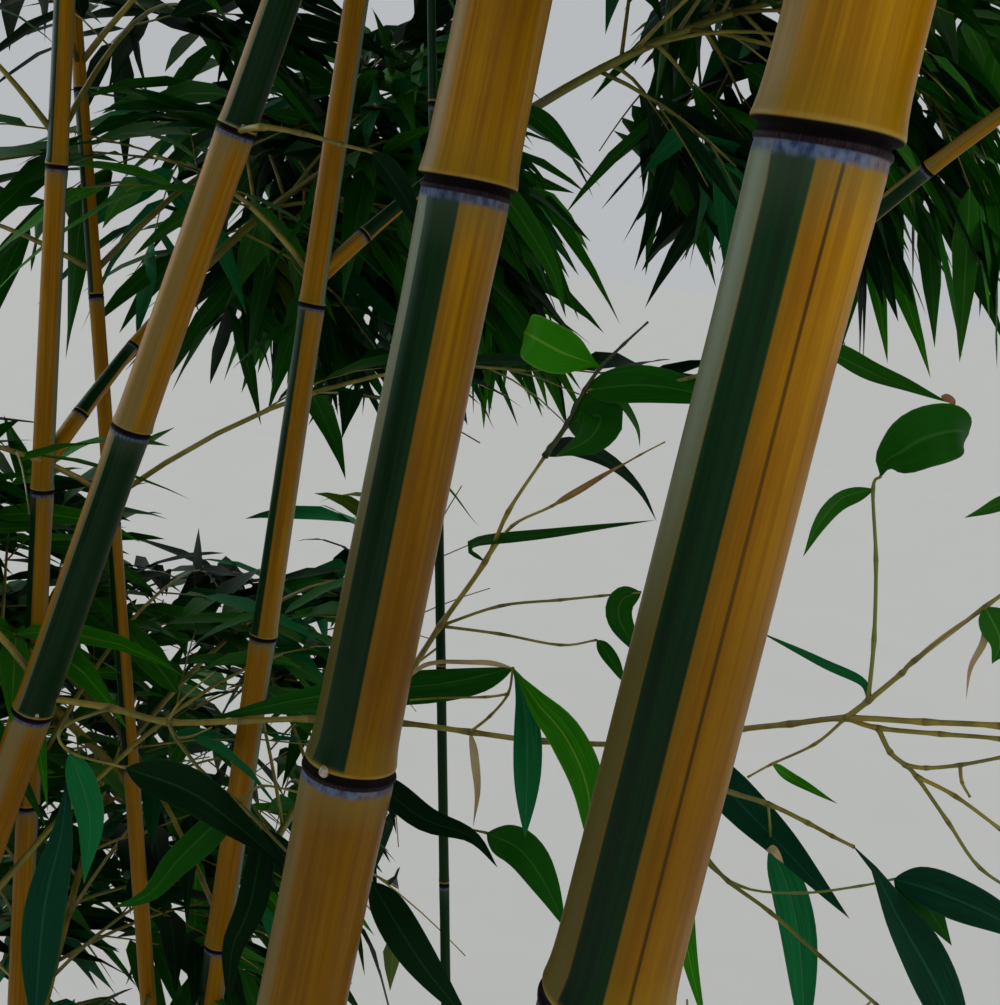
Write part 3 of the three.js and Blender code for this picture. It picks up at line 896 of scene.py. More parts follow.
def in_any_room(points):
    square = ((points[:, None] - CENTRES[None]) ** 2).sum(-1)
    boxed = ((points > BOX_LOW) & (points < BOX_HIGH)).all(-1)
    return (square < REACHES[None] ** 2).any(1) & boxed


def slender_boughs(culm, rng):
    taken = [float(limb["curve"].root[2]) - NODE_ABOVE
             for limb in BOUGH_LIMBS if limb["culm"] is culm]
    limbs = []
    for k, z in enumerate(node_heights(culm)):
        if z < culm["leafy_from"]:
            continue
        for side in (1,) if any(abs(z - other) < SAME_NODE for other in taken) else (-1, 1):
            angle = culm["facing"] + 180 * (k % 2) + side * SLENDER["spread"]
            angle += rng.normal(0, SLENDER["spread_waver"])
            heading = direction(angle, SLENDER["rise"] + rng.normal(0, SLENDER["rise_waver"]))
            length = SLENDER["length"] * rng.uniform(*SLENDER["length_range"])
            limbs.append(Arc(culm_point(culm, z + NODE_ABOVE), heading, length,
                             sinking(SLENDER["droop"])))
    return limbs


def fill_slender(limb, bed, arcs, rng):
    """Leafy twigs to the left and right of a slender bough, and one from its tip."""
    if not leaves_view_open(limb.point(np.linspace(0.1, 1, 6))).all():
        return
    grown = 0
    for k, place in enumerate(SLENDER["twigs"]):
        along = limb.tangent(place)
        side = unit(np.cross(along, UP)) * (1 if k % 2 else -1)
        a = 0
        if place < 1:
            a = math.radians(SLENDER["angle"] * rng.uniform(*SLENDER["angle_range"]))
        waver = rng.normal(0, SLENDER["twig_waver"], 3)
        heading = unit(along * math.cos(a) + side * math.sin(a) + waver)
        length = SLENDER["twig_length"] * rng.uniform(*SLENDER["twig_range"])
        twig = Arc(limb.point(place), heading, length, sinking(SLENDER["twig_droop"]))
        if leafy_spray(bed, twig, rng, in_any_room):
            arcs["sprays"].append(twig)
            grown = place
    if grown:
        arcs["slender"].append(Arc(limb.root, limb.heading, limb.length * grown,
                                   limb.drift * grown))


# The masses whose twigs and leaves are placed one by one
HAND_PLACED = ("low_middle", "low_right")
# What each kind of tube in the other masses takes its radii from, its sides and its steps
TUBES = {"stems": (STEM, 8, 10), "slender": (SLENDER, 6, 8), "twigs": (TWIG, 5, 5),
         "sprays": (SPRAY, 3, 4)}


def build_foliage():
    bed = LeafBed(FAR_OUTLINE, FAR_COLUMNS)
    arcs = {kind: [] for kind in TUBES}
    for index, mass in enumerate(MASSES):
        if mass["name"] not in HAND_PLACED:
            fill_mass(index, bed, arcs)
            arcs["stems"].append(mass["stem"])
    rng = np.random.default_rng(7)
    for culm in CULMS:
        for limb in slender_boughs(culm, rng):
            fill_slender(limb, bed, arcs, rng)
    heap = Heap()
    for kind, (size, sides, steps) in TUBES.items():
        curve_tubes(heap, arcs[kind], size, sides, steps, rng)
    return bed.build("leaves", rng), heap.build("twigs", "stalk")


# The near sprays of the photograph. Each twig starts at its root, a culm and a height, or on one
# of another twig's points, and runs through places given as (pixel across, pixel down, distance).
# Its tone is 0 for ochre, 1 for dark and 2 for green. Each leaf grows from one of its twig's points.

NEAR_TWIGS = {
    "centre": dict(
        root=("middle", 1.206), radii=(0.0019, 0.0007),
        path=[(405, 680, .600), (440, 626, .612), (485, 562, .592), (508, 512, .576),
              (545, 456, .562)]),
    "centre_top": dict(
        on=("centre", 5), radii=(0.0013, 0.0004), tone=1,
        path=[(568, 423, .552), (585, 390, .542), (601, 367, .535), (624, 344, .528),
              (648, 322, .522)]),
    "centre_side": dict(
        on=("centre", 2), radii=(0.0008, 0.0005),
        path=[(500, 606, .605), (560, 600, .590), (600, 596, .580), (641, 592, .572)]),
    "centre_low": dict(
        on=("centre", 2), radii=(0.0008, 0.0005),
        path=[(500, 634, .610), (560, 645, .598), (597, 640, .590)]),
    "centre_husk": dict(
        on=("centre", 3), radii=(0.0008, 0.0003),
        path=[(512, 526, .585), (552, 506, .575), (600, 478, .565), (640, 455, .560),
              (665, 442, .556)]),
    "centre_across": dict(
        on=("centre_top", 2), radii=(0.0008, 0.0006),
        path=[(640, 384, .535), (690, 378, .515), (760, 352, .480), (815, 344, .455)]),
    "crossing": dict(
        root=("left", 1.182), radii=(0.0018, 0.0008),
        path=[(110, 708, .640), (168, 722, .640), (240, 721, .640), (310, 719, .639),
              (400, 723, .638), (470, 732, .625), (541, 741, .600), (640, 744, .550),
              (735, 730, .500), (790, 724, .466), (846, 718, .440), (925, 722, .420),
              (1000, 726, .402), (1080, 738, .388), (1150, 756, .380)]),
    "crossing_below": dict(
        on=("crossing", 11), radii=(0.0010, 0.0006),
        path=[(878, 728, .434), (940, 734, .420), (1000, 739, .408), (1060, 752, .400)]),
    "left_down": dict(
        on=("crossing", 2), radii=(0.0011, 0.0008),
        path=[(176, 738, .630), (205, 775, .620), (238, 802, .612), (264, 828, .606),
              (291, 856, .600)]),
    "left_bit": dict(
        on=("left_down", 3), radii=(0.0008, 0.0005),
        path=[(262, 786, .616), (302, 793, .606)]),
    "left_snag": dict(
        on=("crossing", 2), radii=(0.0008, 0.0004),
        path=[(180, 702, .632), (215, 671, .626)]),
    "left_snag_low": dict(
        on=("left_down", 1), radii=(0.0008, 0.0004),
        path=[(192, 736, .628), (212, 727, .624)]),
    "left_hang": dict(
        on=("crossing", 1), radii=(0.0009, 0.0006),
        path=[(62, 728, .600), (70, 752, .590), (126, 768, .585)]),
    "behind": dict(
        on=("crossing", 6), radii=(0.0008, 0.0006),
        path=[(490, 716, .612), (508, 694, .596), (513, 668, .585)]),
    "behind_pale": dict(
        on=("behind", 2), radii=(0.0007, 0.0004),
        path=[(486, 697, .600), (440, 698, .606), (410, 700, .612)]),
    "low_centre": dict(
        on=("crossing", 5), radii=(0.0010, 0.0006),
        path=[(362, 770, .640), (384, 800, .632), (440, 822, .622), (487, 833, .610)]),
    "low_far": dict(
        on=("low_centre", 2), radii=(0.0008, 0.0006),
        path=[(366, 840, .640), (372, 882, .630)]),
    "right_up": dict(
        on=("crossing", 11), radii=(0.0011, 0.0006),
        path=[(868, 701, .434), (902, 673, .428), (914, 661, .425), (985, 607, .412),
              (1030, 575, .405)]),
    "right_top": dict(
        on=("right_up", 5), radii=(0.0007, 0.0005),
        path=[(1030, 540, .402), (1042, 498, .402)]),
    "right_stalk": dict(
        on=("right_up", 1), radii=(0.0008, 0.0005), tone=2,
        path=[(874, 640, .436), (876, 560, .438), (873, 489, .436), (881, 476, .436)]),
    "right_down": dict(
        on=("crossing_below", 1), radii=(0.0010, 0.0005),
        path=[(890, 752, .430), (905, 765, .428), (916, 776, .426), (948, 822, .420),
              (980, 868, .413), (1030, 900, .405)]),
    "right_fork": dict(
        on=("right_down", 3), radii=(0.0008, 0.0005),
        path=[(955, 796, .418), (1000, 829, .410), (1050, 868, .404)]),
    "right_bend": dict(
        on=("right_down", 2), radii=(0.0008, 0.0005),
        path=[(926, 768, .424), (960, 765, .416), (1003, 757, .408), (1050, 748, .402)]),
    "right_stub": dict(
        on=("right_bend", 2), radii=(0.0007, 0.0004),
        path=[(962, 782, .415), (970, 797, .414)]),
    "right_grey": dict(
        on=("crossing", 11), radii=(0.0006, 0.0004),
        path=[(815, 744, .450), (772, 764, .464), (748, 777, .472)]),
    "right_low": dict(
        on=("crossing", 8), radii=(0.0013, 0.0006),
        path=[(670, 764, .520), (718, 788, .484), (768, 804, .466), (808, 823, .452),
              (832, 836, .445), (854, 847, .438)]),
    "right_drop": dict(
        on=("right_low", 3), radii=(0.0005, 0.0005), tone=2,
        path=[(770, 826, .476), (770, 844, .490)]),
    "right_lower": dict(
        on=("right_low", 2), radii=(0.0006, 0.0004), tone=2,
        path=[(700, 850, .500), (740, 886, .480), (800, 893, .462), (860, 886, .446),
              (894, 879, .436)]),
    "bottom": dict(
        on=("right_low", 1), radii=(0.0011, 0.0005),
        path=[(672, 812, .500), (703, 853, .482), (728, 881, .470), (770, 912, .456),
              (820, 956, .440), (876, 1004, .424), (930, 1052, .412)]),
    "upper_left": dict(
        root=("left", 1.484), radii=(0.0016, 0.0008),
        path=[(262, 127, .605), (300, 133, .620), (340, 144, .640), (372, 152, .655)]),
    "upper_middle": dict(
        root=("middle", 1.476), radii=(0.0013, 0.0007),
        path=[(480, 160, .600), (500, 140, .612), (518, 106, .620)]),
}

# Each leaf: its twig and the twig's point, the places that its midrib goes through, its width,
# how far it is turned edge-on to the camera at its root and its tip, in degrees, and its shade.
# A leaf that isn't widest at BELLY of its length names its own share last.
BELLY = 0.28
NEAR_LEAVES = [
    ("centre_top", 3, [(586, 361, .528), (561, 352, .518), (537, 339, .514), (524, 332, .534)],
     .0200, 12, 12, "bright", .50),
    ("centre_top", 2, [(640, 385, .530), (690, 392, .515), (745, 410, .500)], .0160, 8, 20, "dark"),
    ("centre_top", 1, [(600, 416, .535), (590, 438, .522), (556, 456, .508)], .0200, 20, 10, "dark"),
    ("centre_top", 2, [(618, 402, .550), (636, 425, .555), (640, 448, .560)], .0075, 45, 65, "fresh"),
    ("centre", 5, [(572, 448, .600), (612, 464, .625), (640, 490, .635), (657, 522, .640)],
     .0110, 30, 40, "deep"),
    ("centre", 3, [(472, 546, .590), (516, 538, .580), (588, 530, .570), (656, 520, .560)],
     .0100, 58, 62, "dark"),
    ("centre", 1, [(430, 488, .640), (480, 527, .640)], .0050, 40, 50, "olive"),
    ("centre_side", 4, [(622, 600, .575), (620, 622, .575), (645, 660, .575)], .0130, 15, 20, "dark"),
    ("centre_low", 3, [(608, 655, .588), (627, 686, .585)], .0080, 25, 30, "dark"),
    ("centre_across", 4, [(868, 371, .448), (908, 388, .442), (950, 403, .438)], .0120, 52, 58,
     "fresh"),
    ("behind", 3, [(440, 684, .615), (330, 694, .635), (205, 720, .645)], .0205, 40, 18, "dark"),
    ("behind", 3, [(525, 712, .580), (527, 770, .575), (525, 838, .572)], .0140, 15, 5, "teal", .45),
    ("behind", 3, [(538, 704, .572), (566, 738, .568), (587, 788, .564), (592, 856, .560)],
     .0185, 25, 20, "bright", .45),
    ("low_centre", 1, [(420, 817, .612), (470, 836, .605), (498, 868, .600)], .0170, 35, 30, "deep"),
    ("low_centre", 4, [(520, 850, .598), (546, 886, .592), (566, 930, .586)], .0200, 15, 20, "dark"),
    ("low_far", 2, [(400, 930, .610), (430, 975, .600), (474, 1028, .592)], .0210, 20, 20, "deep"),
    ("left_hang", 3, [(190, 792, .585), (240, 828, .580), (286, 868, .575)], .0215, 18, 25, "deep"),
    ("left_hang", 2, [(84, 792, .585), (90, 826, .580), (84, 884, .575)], .0150, 15, 20, "teal"),
    ("left_hang", 2, [(62, 830, .575), (44, 910, .568), (34, 1030, .560)], .0200, 10, 20, "sea", .55),
    ("left_down", 4, [(300, 880, .600), (330, 930, .596), (352, 985, .592)], .0150, 20, 30, "deep"),
    ("left_down", 3, [(180, 858, .600), (150, 893, .596), (112, 908, .592)], .0180, 25, 30, "dark"),
    ("left_down", 4, [(250, 905, .590), (232, 950, .586), (228, 1010, .584)], .0170, 20, 30, "deep"),
    ("right_stalk", 4, [(886, 461, .434), (902, 451, .430), (922, 439, .428), (946, 432, .430),
                        (960, 431, .436), (969, 434, .446)], .0205, 5, 5, "dark", .42),
    ("right_stalk", 3, [(842, 498, .440), (818, 526, .446), (803, 557, .450)], .0085, 40, 45, "fresh"),
    ("right_up", 1, [(862, 681, .437), (820, 661, .441), (758, 631, .450)], .0040, 30, 30, "teal"),
    ("right_up", 4, [(1000, 640, .408), (992, 664, .408)], .0110, 20, 30, "fresh"),
    ("right_up", 5, [(1060, 540, .400), (1110, 500, .395)], .0150, 20, 30, "fresh"),
    ("right_top", 2, [(1010, 500, .408), (964, 518, .420)], .0075, 45, 50, "fresh"),
    ("right_grey", 2, [(788, 776, .466), (810, 789, .462), (838, 804, .458)], .0048, 30, 40, "bright"),
    ("right_low", 1, [(712, 778, .502), (760, 824, .488), (804, 870, .472), (850, 919, .458)],
     .0190, 20, 30, "sea"),
    ("right_drop", 2, [(776, 858, .490), (790, 895, .484), (800, 950, .476), (806, 1060, .466)],
     .0150, 10, 5, "teal"),
    ("right_low", 6, [(872, 866, .434), (897, 915, .428), (936, 985, .422), (970, 1060, .418)],
     .0180, 35, 15, "sea", .52),
    ("right_lower", 5, [(940, 893, .428), (1000, 920, .420), (1050, 950, .415)], .0165, 25, 20, "sea"),
    ("right_lower", 5, [(925, 905, .432), (952, 946, .430)], .0110, 20, 30, "dark"),
    ("right_down", 6, [(1080, 950, .395), (1130, 1010, .390)], .0150, 20, 25, "fresh"),
    ("bottom", 1, [(684, 930, .490), (706, 1030, .480)], .0110, 15, 25, "bright"),
    ("bottom", 7, [(980, 1100, .405), (1040, 1170, .395)], .0150, 20, 25, "dark"),
    ("upper_middle", 1, [(522, 220, .600), (552, 270, .600), (566, 318, .600)], .0120, 25, 30, "fresh"),
    ("upper_middle", 3, [(550, 130, .620), (584, 164, .620)], .0110, 30, 40, "dark"),
    ("upper_left", 4, [(400, 190, .670), (432, 250, .680)], .0140, 30, 40, "deep"),
]

# Dry sheaths: twig and point, the places that the sheath goes through, its width and its tone.
# One with no twig starts at the first of its places.
HUSKS = [
    (None, None, [(941, 396, .437), (952, 401, .436), (953, 409, .438)], .0030, "rusty"),
    (None, None, [(768, 848, .470), (775, 852, .464), (784, 864, .466)], .0040, "straw"),
    ("centre_husk", 2, [(585, 487, .568), (612, 471, .563), (638, 456, .560)], .0036, "rusty"),
    ("centre", 1, [(430, 664, .600), (490, 660, .596)], .0026, "straw"),
    ("behind", 3, [(482, 662, .592), (420, 663, .600)], .0030, "straw"),
    ("crossing", 6, [(474, 756, .622), (477, 790, .620), (473, 828, .618)], .0052, "straw"),
    ("right_up", 3, [(948, 634, .418), (986, 606, .411)], .0022, "straw"),
    ("right_up", 4, [(984, 640, .411), (970, 668, .412), (966, 700, .412)], .0028, "straw"),
    ("right_low", 2, [(744, 797, .474), (770, 804, .466)], .0024, "straw"),
]
# How far a sheath is turned from facing the camera at its root and at its tip, in degrees
HUSK_EDGES = (20, 50)
SMOOTH_STEPS = 5
NEAR_TWIG = dict(sides=10, joint=1.35)
NEAR_BLADE = dict(columns=9, husk_columns=5, root_share=0.03, outline_steps=3, path_steps=8,
                  fold=0.20, wave=0.10, wave_turns=9)


def smooth_path(points, steps):
    """A smooth line through points, with steps pieces between each pair."""
    points = np.asarray(points, float)
    padded = np.concatenate([[2 * points[0] - points[1]], points, [2 * points[-1] - points[-2]]])
    t = (np.arange(steps) / steps)[:, None]
    line = []
    for i in range(1, len(padded) - 2):
        a, b, c, d = padded[i - 1:i + 3]
        line.append(0.5 * (2 * b + (c - a) * t + (2 * a - 5 * b + 4 * c - d) * t ** 2
                           + (3 * b - a - 3 * c + d) * t ** 3))
    return np.concatenate(line + [points[-1:]])


def near_twig_points():
    """Each near twig's own points, from its root on."""
    found = {}
    for name, twig in NEAR_TWIGS.items():
        if "on" in twig:
            carrier, k = twig["on"]
            root = found[carrier][k]
        else:
            culm, height = twig["root"]
            root = culm_point(culm_named(culm), height)
        found[name] = np.array([root] + [seen(*place) for place in twig["path"]])
    return found


def build_near_twigs():
    points = near_twig_points()
    heap = Heap()
    rng = np.random.default_rng(11)
    for name, twig in NEAR_TWIGS.items():
        line = smooth_path(points[name], SMOOTH_STEPS)
        radii = np.linspace(*twig["radii"], len(line))
        radii[::SMOOTH_STEPS] *= NEAR_TWIG["joint"]
        vertices, groups = tubes(line[None], radii[None], NEAR_TWIG["sides"])
        joint_place = (np.arange(len(line)) % SMOOTH_STEPS) / SMOOTH_STEPS
        place = np.repeat(joint_place, NEAR_TWIG["sides"])
        own = np.full(len(vertices), rng.uniform(0, 1))
        heap.add(vertices, groups, np.stack([place, own, own * 0 + twig.get("tone", 0)], -1))
    return heap.build("near_twigs", "stalk"), points


def path_blades(entries, points, name, columns, rng):
    """Broad leaves that follow their own paths, joined into one piece."""
    look = NEAR_BLADE
    outline = [(0.0, look["root_share"]), *OUTLINE, (1.0, 0.0)]
    even, share = smooth_path(outline, look["outline_steps"]).T
    u = np.linspace(-1, 1, columns)
    heap = Heap()
    for twig, k, places, width, edge_root, edge_tip, belly in entries:
        root = [points[twig][k]] if twig else []
        line = smooth_path(root + [seen(*place) for place in places], look["path_steps"])
        t = even ** (math.log(belly) / math.log(BELLY))
        run = np.concatenate([[0], np.cumsum(np.linalg.norm(np.diff(line, axis=0), axis=1))])
        centre = np.stack([np.interp(t * run[-1], run, values) for values in line.T], -1)
        tangent = unit(np.gradient(centre, axis=0))
        sight = unit(CAMERA_AT - centre)
        face = unit(sight - tangent * (tangent * sight).sum(-1, keepdims=True))
        across = np.cross(tangent, face)
        turn = np.radians(edge_root + (edge_tip - edge_root) * t)[:, None]
        across, face = rolled(across, face, turn)
        half = (width * share / 2)[:, None, None]
        waving = np.sin(t * look["wave_turns"] + rng.uniform(0, 6))[:, None]
        lift = (np.abs(u)[None] * look["fold"] + look["wave"] * waving * u[None] ** 2)[..., None]
        grid = centre[:, None] + half * (across[:, None] * u[:, None] + face[:, None] * lift)
        own = rng.uniform(0, 1)
        values = np.stack(np.broadcast_arrays(u[None], t[:, None], own), -1).reshape(-1, 3)
        heap.add(grid.reshape(-1, 3), [ring_faces(len(even), columns, closed=False)], values)
    piece = heap.build(name, "blade")
    map_blades(piece, np.concatenate(heap.values))
    return piece


def build_near_leaves(points):
    rng = np.random.default_rng(12)
    leaves = {}
    for leaf in NEAR_LEAVES:
        *entry, shade, belly = leaf if isinstance(leaf[-1], float) else (*leaf, BELLY)
        leaves.setdefault(shade, []).append((*entry, belly))
    husks = {}
    for twig, k, places, width, tone in HUSKS:
        husks.setdefault(tone, []).append((twig, k, places, width, *HUSK_EDGES, BELLY))
    columns, husk_columns = NEAR_BLADE["columns"], NEAR_BLADE["husk_columns"]
    return ({shade: path_blades(entries, points, "near_leaves_" + shade, columns, rng)
             for shade, entries in leaves.items()},
            {tone: path_blades(entries, points, "dry_sheaths_" + tone, husk_columns, rng)
             for tone, entries in husks.items()})


# Buds: a small pointed scale at the foot of the stripe, above each node of the first BUDDED_CULMS

BUD = dict(length=0.0060, width=0.0050, depth=0.0018, rise=0.0006, out=1.03, fullness=0.7,
           rows=7, sides=10)
BUDDED_CULMS = 5


def bud_grid(root, outward, sideways, scale):
    """One bud's rings of points, and how far up it each ring is."""
    t = np.linspace(0.02, 1, BUD["rows"])[:, None]
    a = (np.arange(BUD["sides"]) / BUD["sides"] * 2 * math.pi)[None]
    half = np.sqrt(np.sin(math.pi * t ** BUD["fullness"])) * 0.5
    grid = (root + UP * (BUD["length"] * scale * t)[..., None]
            + sideways * (BUD["width"] * scale * half * np.cos(a))[..., None]
            + outward * (BUD["depth"] * scale * half * 2 * np.sin(a))[..., None])
    return grid.reshape(-1, 3), t[:, 0]


def build_buds():
    heap = Heap()
    rows, sides = BUD["rows"], BUD["sides"]
    for culm in CULMS[:BUDDED_CULMS]:
        nodes = node_heights(culm)
        first = min(range(len(nodes)), key=lambda k: abs(nodes[k] - culm["node"]))
        scale = culm["radius"] / FULL_NODE_RADIUS
        for k, z in enumerate(nodes):
            side = math.radians(culm["stripe"]) + math.pi * ((k - first) % 2)
            outward = np.array([math.cos(side), math.sin(side), 0])
            sideways = np.array([-math.sin(side), math.cos(side), 0])
            root = culm_point(culm, z + BUD["rise"] * scale)
            root = root + outward * float(culm_radius(culm, z)) * BUD["out"]
            grid, height = bud_grid(root, outward, sideways, scale)
            groups = [ring_faces(rows, sides), np.arange(sides)[None, ::-1],
                      np.arange(sides)[None] + (rows - 1) * sides]
            place = np.repeat(height, sides)
            heap.add(grid, groups, np.stack([place, place * 0, place * 0], -1))
    return heap.build("buds", "stalk")


# Pot and soil

POT = dict(height=0.500, rim_radius=0.320, foot_radius=0.236, wall=0.024, floor=0.034,
           band_height=0.062, band_depth=0.012, edge=0.007)
POT_SIDES = 192
FOOT_RING = dict(width=0.024, slope=0.006, height=0.006)
RIPPLE = dict(depth=0.0006, per_metre=520, sway=0.8, clear=0.02)
PROFILE_STEP = 0.012
SOIL = dict(rings=90, sides=240, sunk=0.004, skirt=0.05, calm_edge=0.012, hollow=0.004)
# Each set of waves in the soil: how high, and about how many radians in a metre
SOIL_WAVES = ((0.0035, 90), (0.0022, 260), (0.0012, 620))
CHIPS = dict(count=900, from_edge=0.022, from_culm=0.012, stacked=0.003, tilt=0.3, spread=0.45,
             typical=-0.1, size=(0.0065, 0.0036, 0.0014), shape_range=(0.75, 1.2))


def inner_radius(z):
    top = POT["height"] - POT["edge"]
    top_radius = POT["rim_radius"] - POT["wall"] - POT["band_depth"]
    floor_radius = POT["foot_radius"] - POT["wall"]
    return floor_radius + (top_radius - floor_radius) * (z - POT["floor"]) / (top - POT["floor"])


def rounded(corners, steps=5):
    """A profile whose corners (radius, height, rounding) are turned into small arcs."""
    line = []
    for i, (r, z, edge) in enumerate(corners):
        here = np.array([r, z])
        if edge == 0 or i in (0, len(corners) - 1):
            line.append(here)
            continue
        before = np.array(corners[i - 1][:2])
        after = np.array(corners[i + 1][:2])
        a = here + unit(before - here) * edge
        b = here + unit(after - here) * edge
        for t in np.linspace(0, 1, steps + 1):
            line.append((1 - t) ** 2 * a + 2 * t * (1 - t) * here + t ** 2 * b)
    return np.array(line)


def refined(line, longest):
    out = [line[0]]
    for a, b in zip(line[:-1], line[1:]):
        count = max(1, math.ceil(np.linalg.norm(b - a) / longest))
        out += [a + (b - a) * k / count for k in range(1, count + 1)]
    return np.array(out)


def lathe(profile, sides):
    """Vertices and face groups of a turned shape whose profile starts and ends on the axis."""
    ring = profile[1:-1]
    angle = np.arange(sides) / sides * 2 * math.pi
    grid = np.stack([ring[:, :1] * np.cos(angle), ring[:, :1] * np.sin(angle),
                     np.repeat(ring[:, 1:], sides, 1)], -1).reshape(-1, 3)
    vertices = np.concatenate([grid, [[0, 0, profile[0, 1]]], [[0, 0, profile[-1, 1]]]])
    first, last = len(grid), len(grid) + 1
    around = np.arange(sides)
    after = (around + 1) % sides
    low = np.stack([np.full(sides, first), after, around], -1)
    offset = (len(ring) - 1) * sides
    high = np.stack([np.full(sides, last), around + offset, after + offset], -1)
    return vertices, [ring_faces(len(ring), sides), np.concatenate([low, high])]


def build_pot():
    height, rim, foot = POT["height"], POT["rim_radius"], POT["foot_radius"]
    band = height - POT["band_height"]
    under = rim - POT["band_depth"]
    inner_top = rim - POT["wall"] - POT["band_depth"]
    ring_inside = foot - FOOT_RING["width"]
    corners = [
        (0, FOOT_RING["height"], 0), (ring_inside - FOOT_RING["slope"], FOOT_RING["height"], 0.003),
        (ring_inside, 0, 0.003), (foot, 0, 0.006),
        (under - 0.002, band - 0.010, 0.006), (rim - 0.001, band, 0.005), (rim, height, 0.007),
        (inner_top, height, 0.008), (inner_radius(POT["floor"]), POT["floor"], 0.01),
        (0, POT["floor"], 0),
    ]
    vertices, groups = lathe(refined(rounded(corners), PROFILE_STEP), POT_SIDES)
    angle = np.arctan2(vertices[:, 1], vertices[:, 0])
    z = vertices[:, 2]
    away = np.hypot(vertices[:, 0], vertices[:, 1])
    ripple = RIPPLE["depth"] * np.sin(z * RIPPLE["per_metre"] + np.sin(angle) * RIPPLE["sway"])
    rippled = (away > inner_radius(z) + 0.01) & (z > RIPPLE["clear"]) & (z < band - RIPPLE["clear"])
    swell = 1 + np.where(rippled, ripple, 0) / np.maximum(away, 0.01)
    vertices[:, :2] *= swell[:, None]
    return make_object("turned_pot", vertices, groups)


def waves(x, y, seed, scale, count=24):
    """A smooth random height at each point, mostly between -1 and 1."""
    rng = np.random.default_rng(seed)
    total = np.zeros_like(x)
    for _ in range(count):
        kx, ky = rng.normal(0, scale, 2)
        total += np.sin(kx * x + ky * y + rng.uniform(0, 2 * math.pi))
    return total / math.sqrt(count)


def build_soil():
    rings, sides = SOIL["rings"], SOIL["sides"]
    level = SOIL_LEVEL - SOIL["sunk"]
    edge = inner_radius(SOIL_LEVEL) - 2 * GAP
    radius = np.linspace(SOIL["hollow"], edge, rings)
    angle = np.arange(sides) / sides * 2 * math.pi
    x = (radius[:, None] * np.cos(angle)).ravel()
    y = (radius[:, None] * np.sin(angle)).ravel()
    bump = sum(height * waves(x, y, k + 1, scale)
               for k, (height, scale) in enumerate(SOIL_WAVES))
    inset = 1 - smoothstep(np.hypot(x, y), edge - SOIL["calm_edge"], edge)
    z = level + bump * (0.3 + 0.7 * inset)
    grid = np.stack([x, y, z], -1)
    skirt = grid[-sides:] * (1, 1, 0) + (0, 0, SOIL_LEVEL - SOIL["skirt"])
    vertices = np.concatenate([grid, skirt, [[0, 0, level]]])
    centre = len(vertices) - 1
    around = np.arange(sides)
    fan = np.stack([np.full(sides, centre), around, (around + 1) % sides], -1)
    return make_object("soil_surface", vertices, [ring_faces(rings + 1, sides)[:, ::-1], fan])


def build_chips():
    """Bark chips and crumbs lying on the soil."""
    rng = np.random.default_rng(5)
    count = CHIPS["count"]
    edge = inner_radius(SOIL_LEVEL) - CHIPS["from_edge"]
    radius = edge * np.sqrt(rng.uniform(0, 1, count))
    angle = rng.uniform(0, 2 * math.pi, count)
    centre = np.stack([radius * np.cos(angle), radius * np.sin(angle),
                       SOIL_LEVEL + rng.uniform(0, CHIPS["stacked"], count)], -1)
    for culm in CULMS:
        foot = np.array([*culm["foot"], SOIL_LEVEL])
        away = np.linalg.norm((centre - foot)[:, :2], axis=1)
        centre = centre[away > culm["radius"] + CHIPS["from_culm"]]
    count = len(centre)
    size = rng.lognormal(CHIPS["typical"], CHIPS["spread"], (count, 1)) * np.array([CHIPS["size"]])
    corner = np.array([[-1, -1, -1], [1, -0.8, -1], [0.9, 1, -1], [-1, 0.8, -1],
                       [-0.8, -0.7, 1], [0.8, -0.9, 1], [0.7, 0.8, 1], [-0.9, 0.9, 1]], float)
    shape = corner[None] * size[:, None] * rng.uniform(*CHIPS["shape_range"], (count, 8, 3))
    yaw = rng.uniform(0, 2 * math.pi, count)
    tilt = rng.normal(0, CHIPS["tilt"], count)
    c, s = np.cos(yaw)[:, None], np.sin(yaw)[:, None]
    x, y, z = shape[..., 0], shape[..., 1], shape[..., 2]
    z = z * np.cos(tilt)[:, None] + x * np.sin(tilt)[:, None]
    turned = np.stack([x * c - y * s, x * s + y * c, z], -1)
    vertices = (centre[:, None] + turned).reshape(-1, 3)
    quads = np.array([[3, 2, 1, 0], [4, 5, 6, 7], [0, 1, 5, 4], [1, 2, 6, 5], [2, 3, 7, 6],
                      [3, 0, 4, 7]])
    quads = (quads[None] + (np.arange(count) * 8)[:, None, None]).reshape(-1, 4)
    return make_object("bark_chips", vertices, [quads], smooth=False)


# Materials

def linear(red, green, blue):
    """A colour given as 0 to 255 on screen, as the shader wants it."""
    def channel(value):
        v = value / 255
        return v / 12.92 if v <= 0.04045 else ((v + 0.055) / 1.055) ** 2.4
    return channel(red), channel(green), channel(blue), 1.0


# Most of a noise's values lie between these
NOISE_RANGE = (0.3, 0.7)


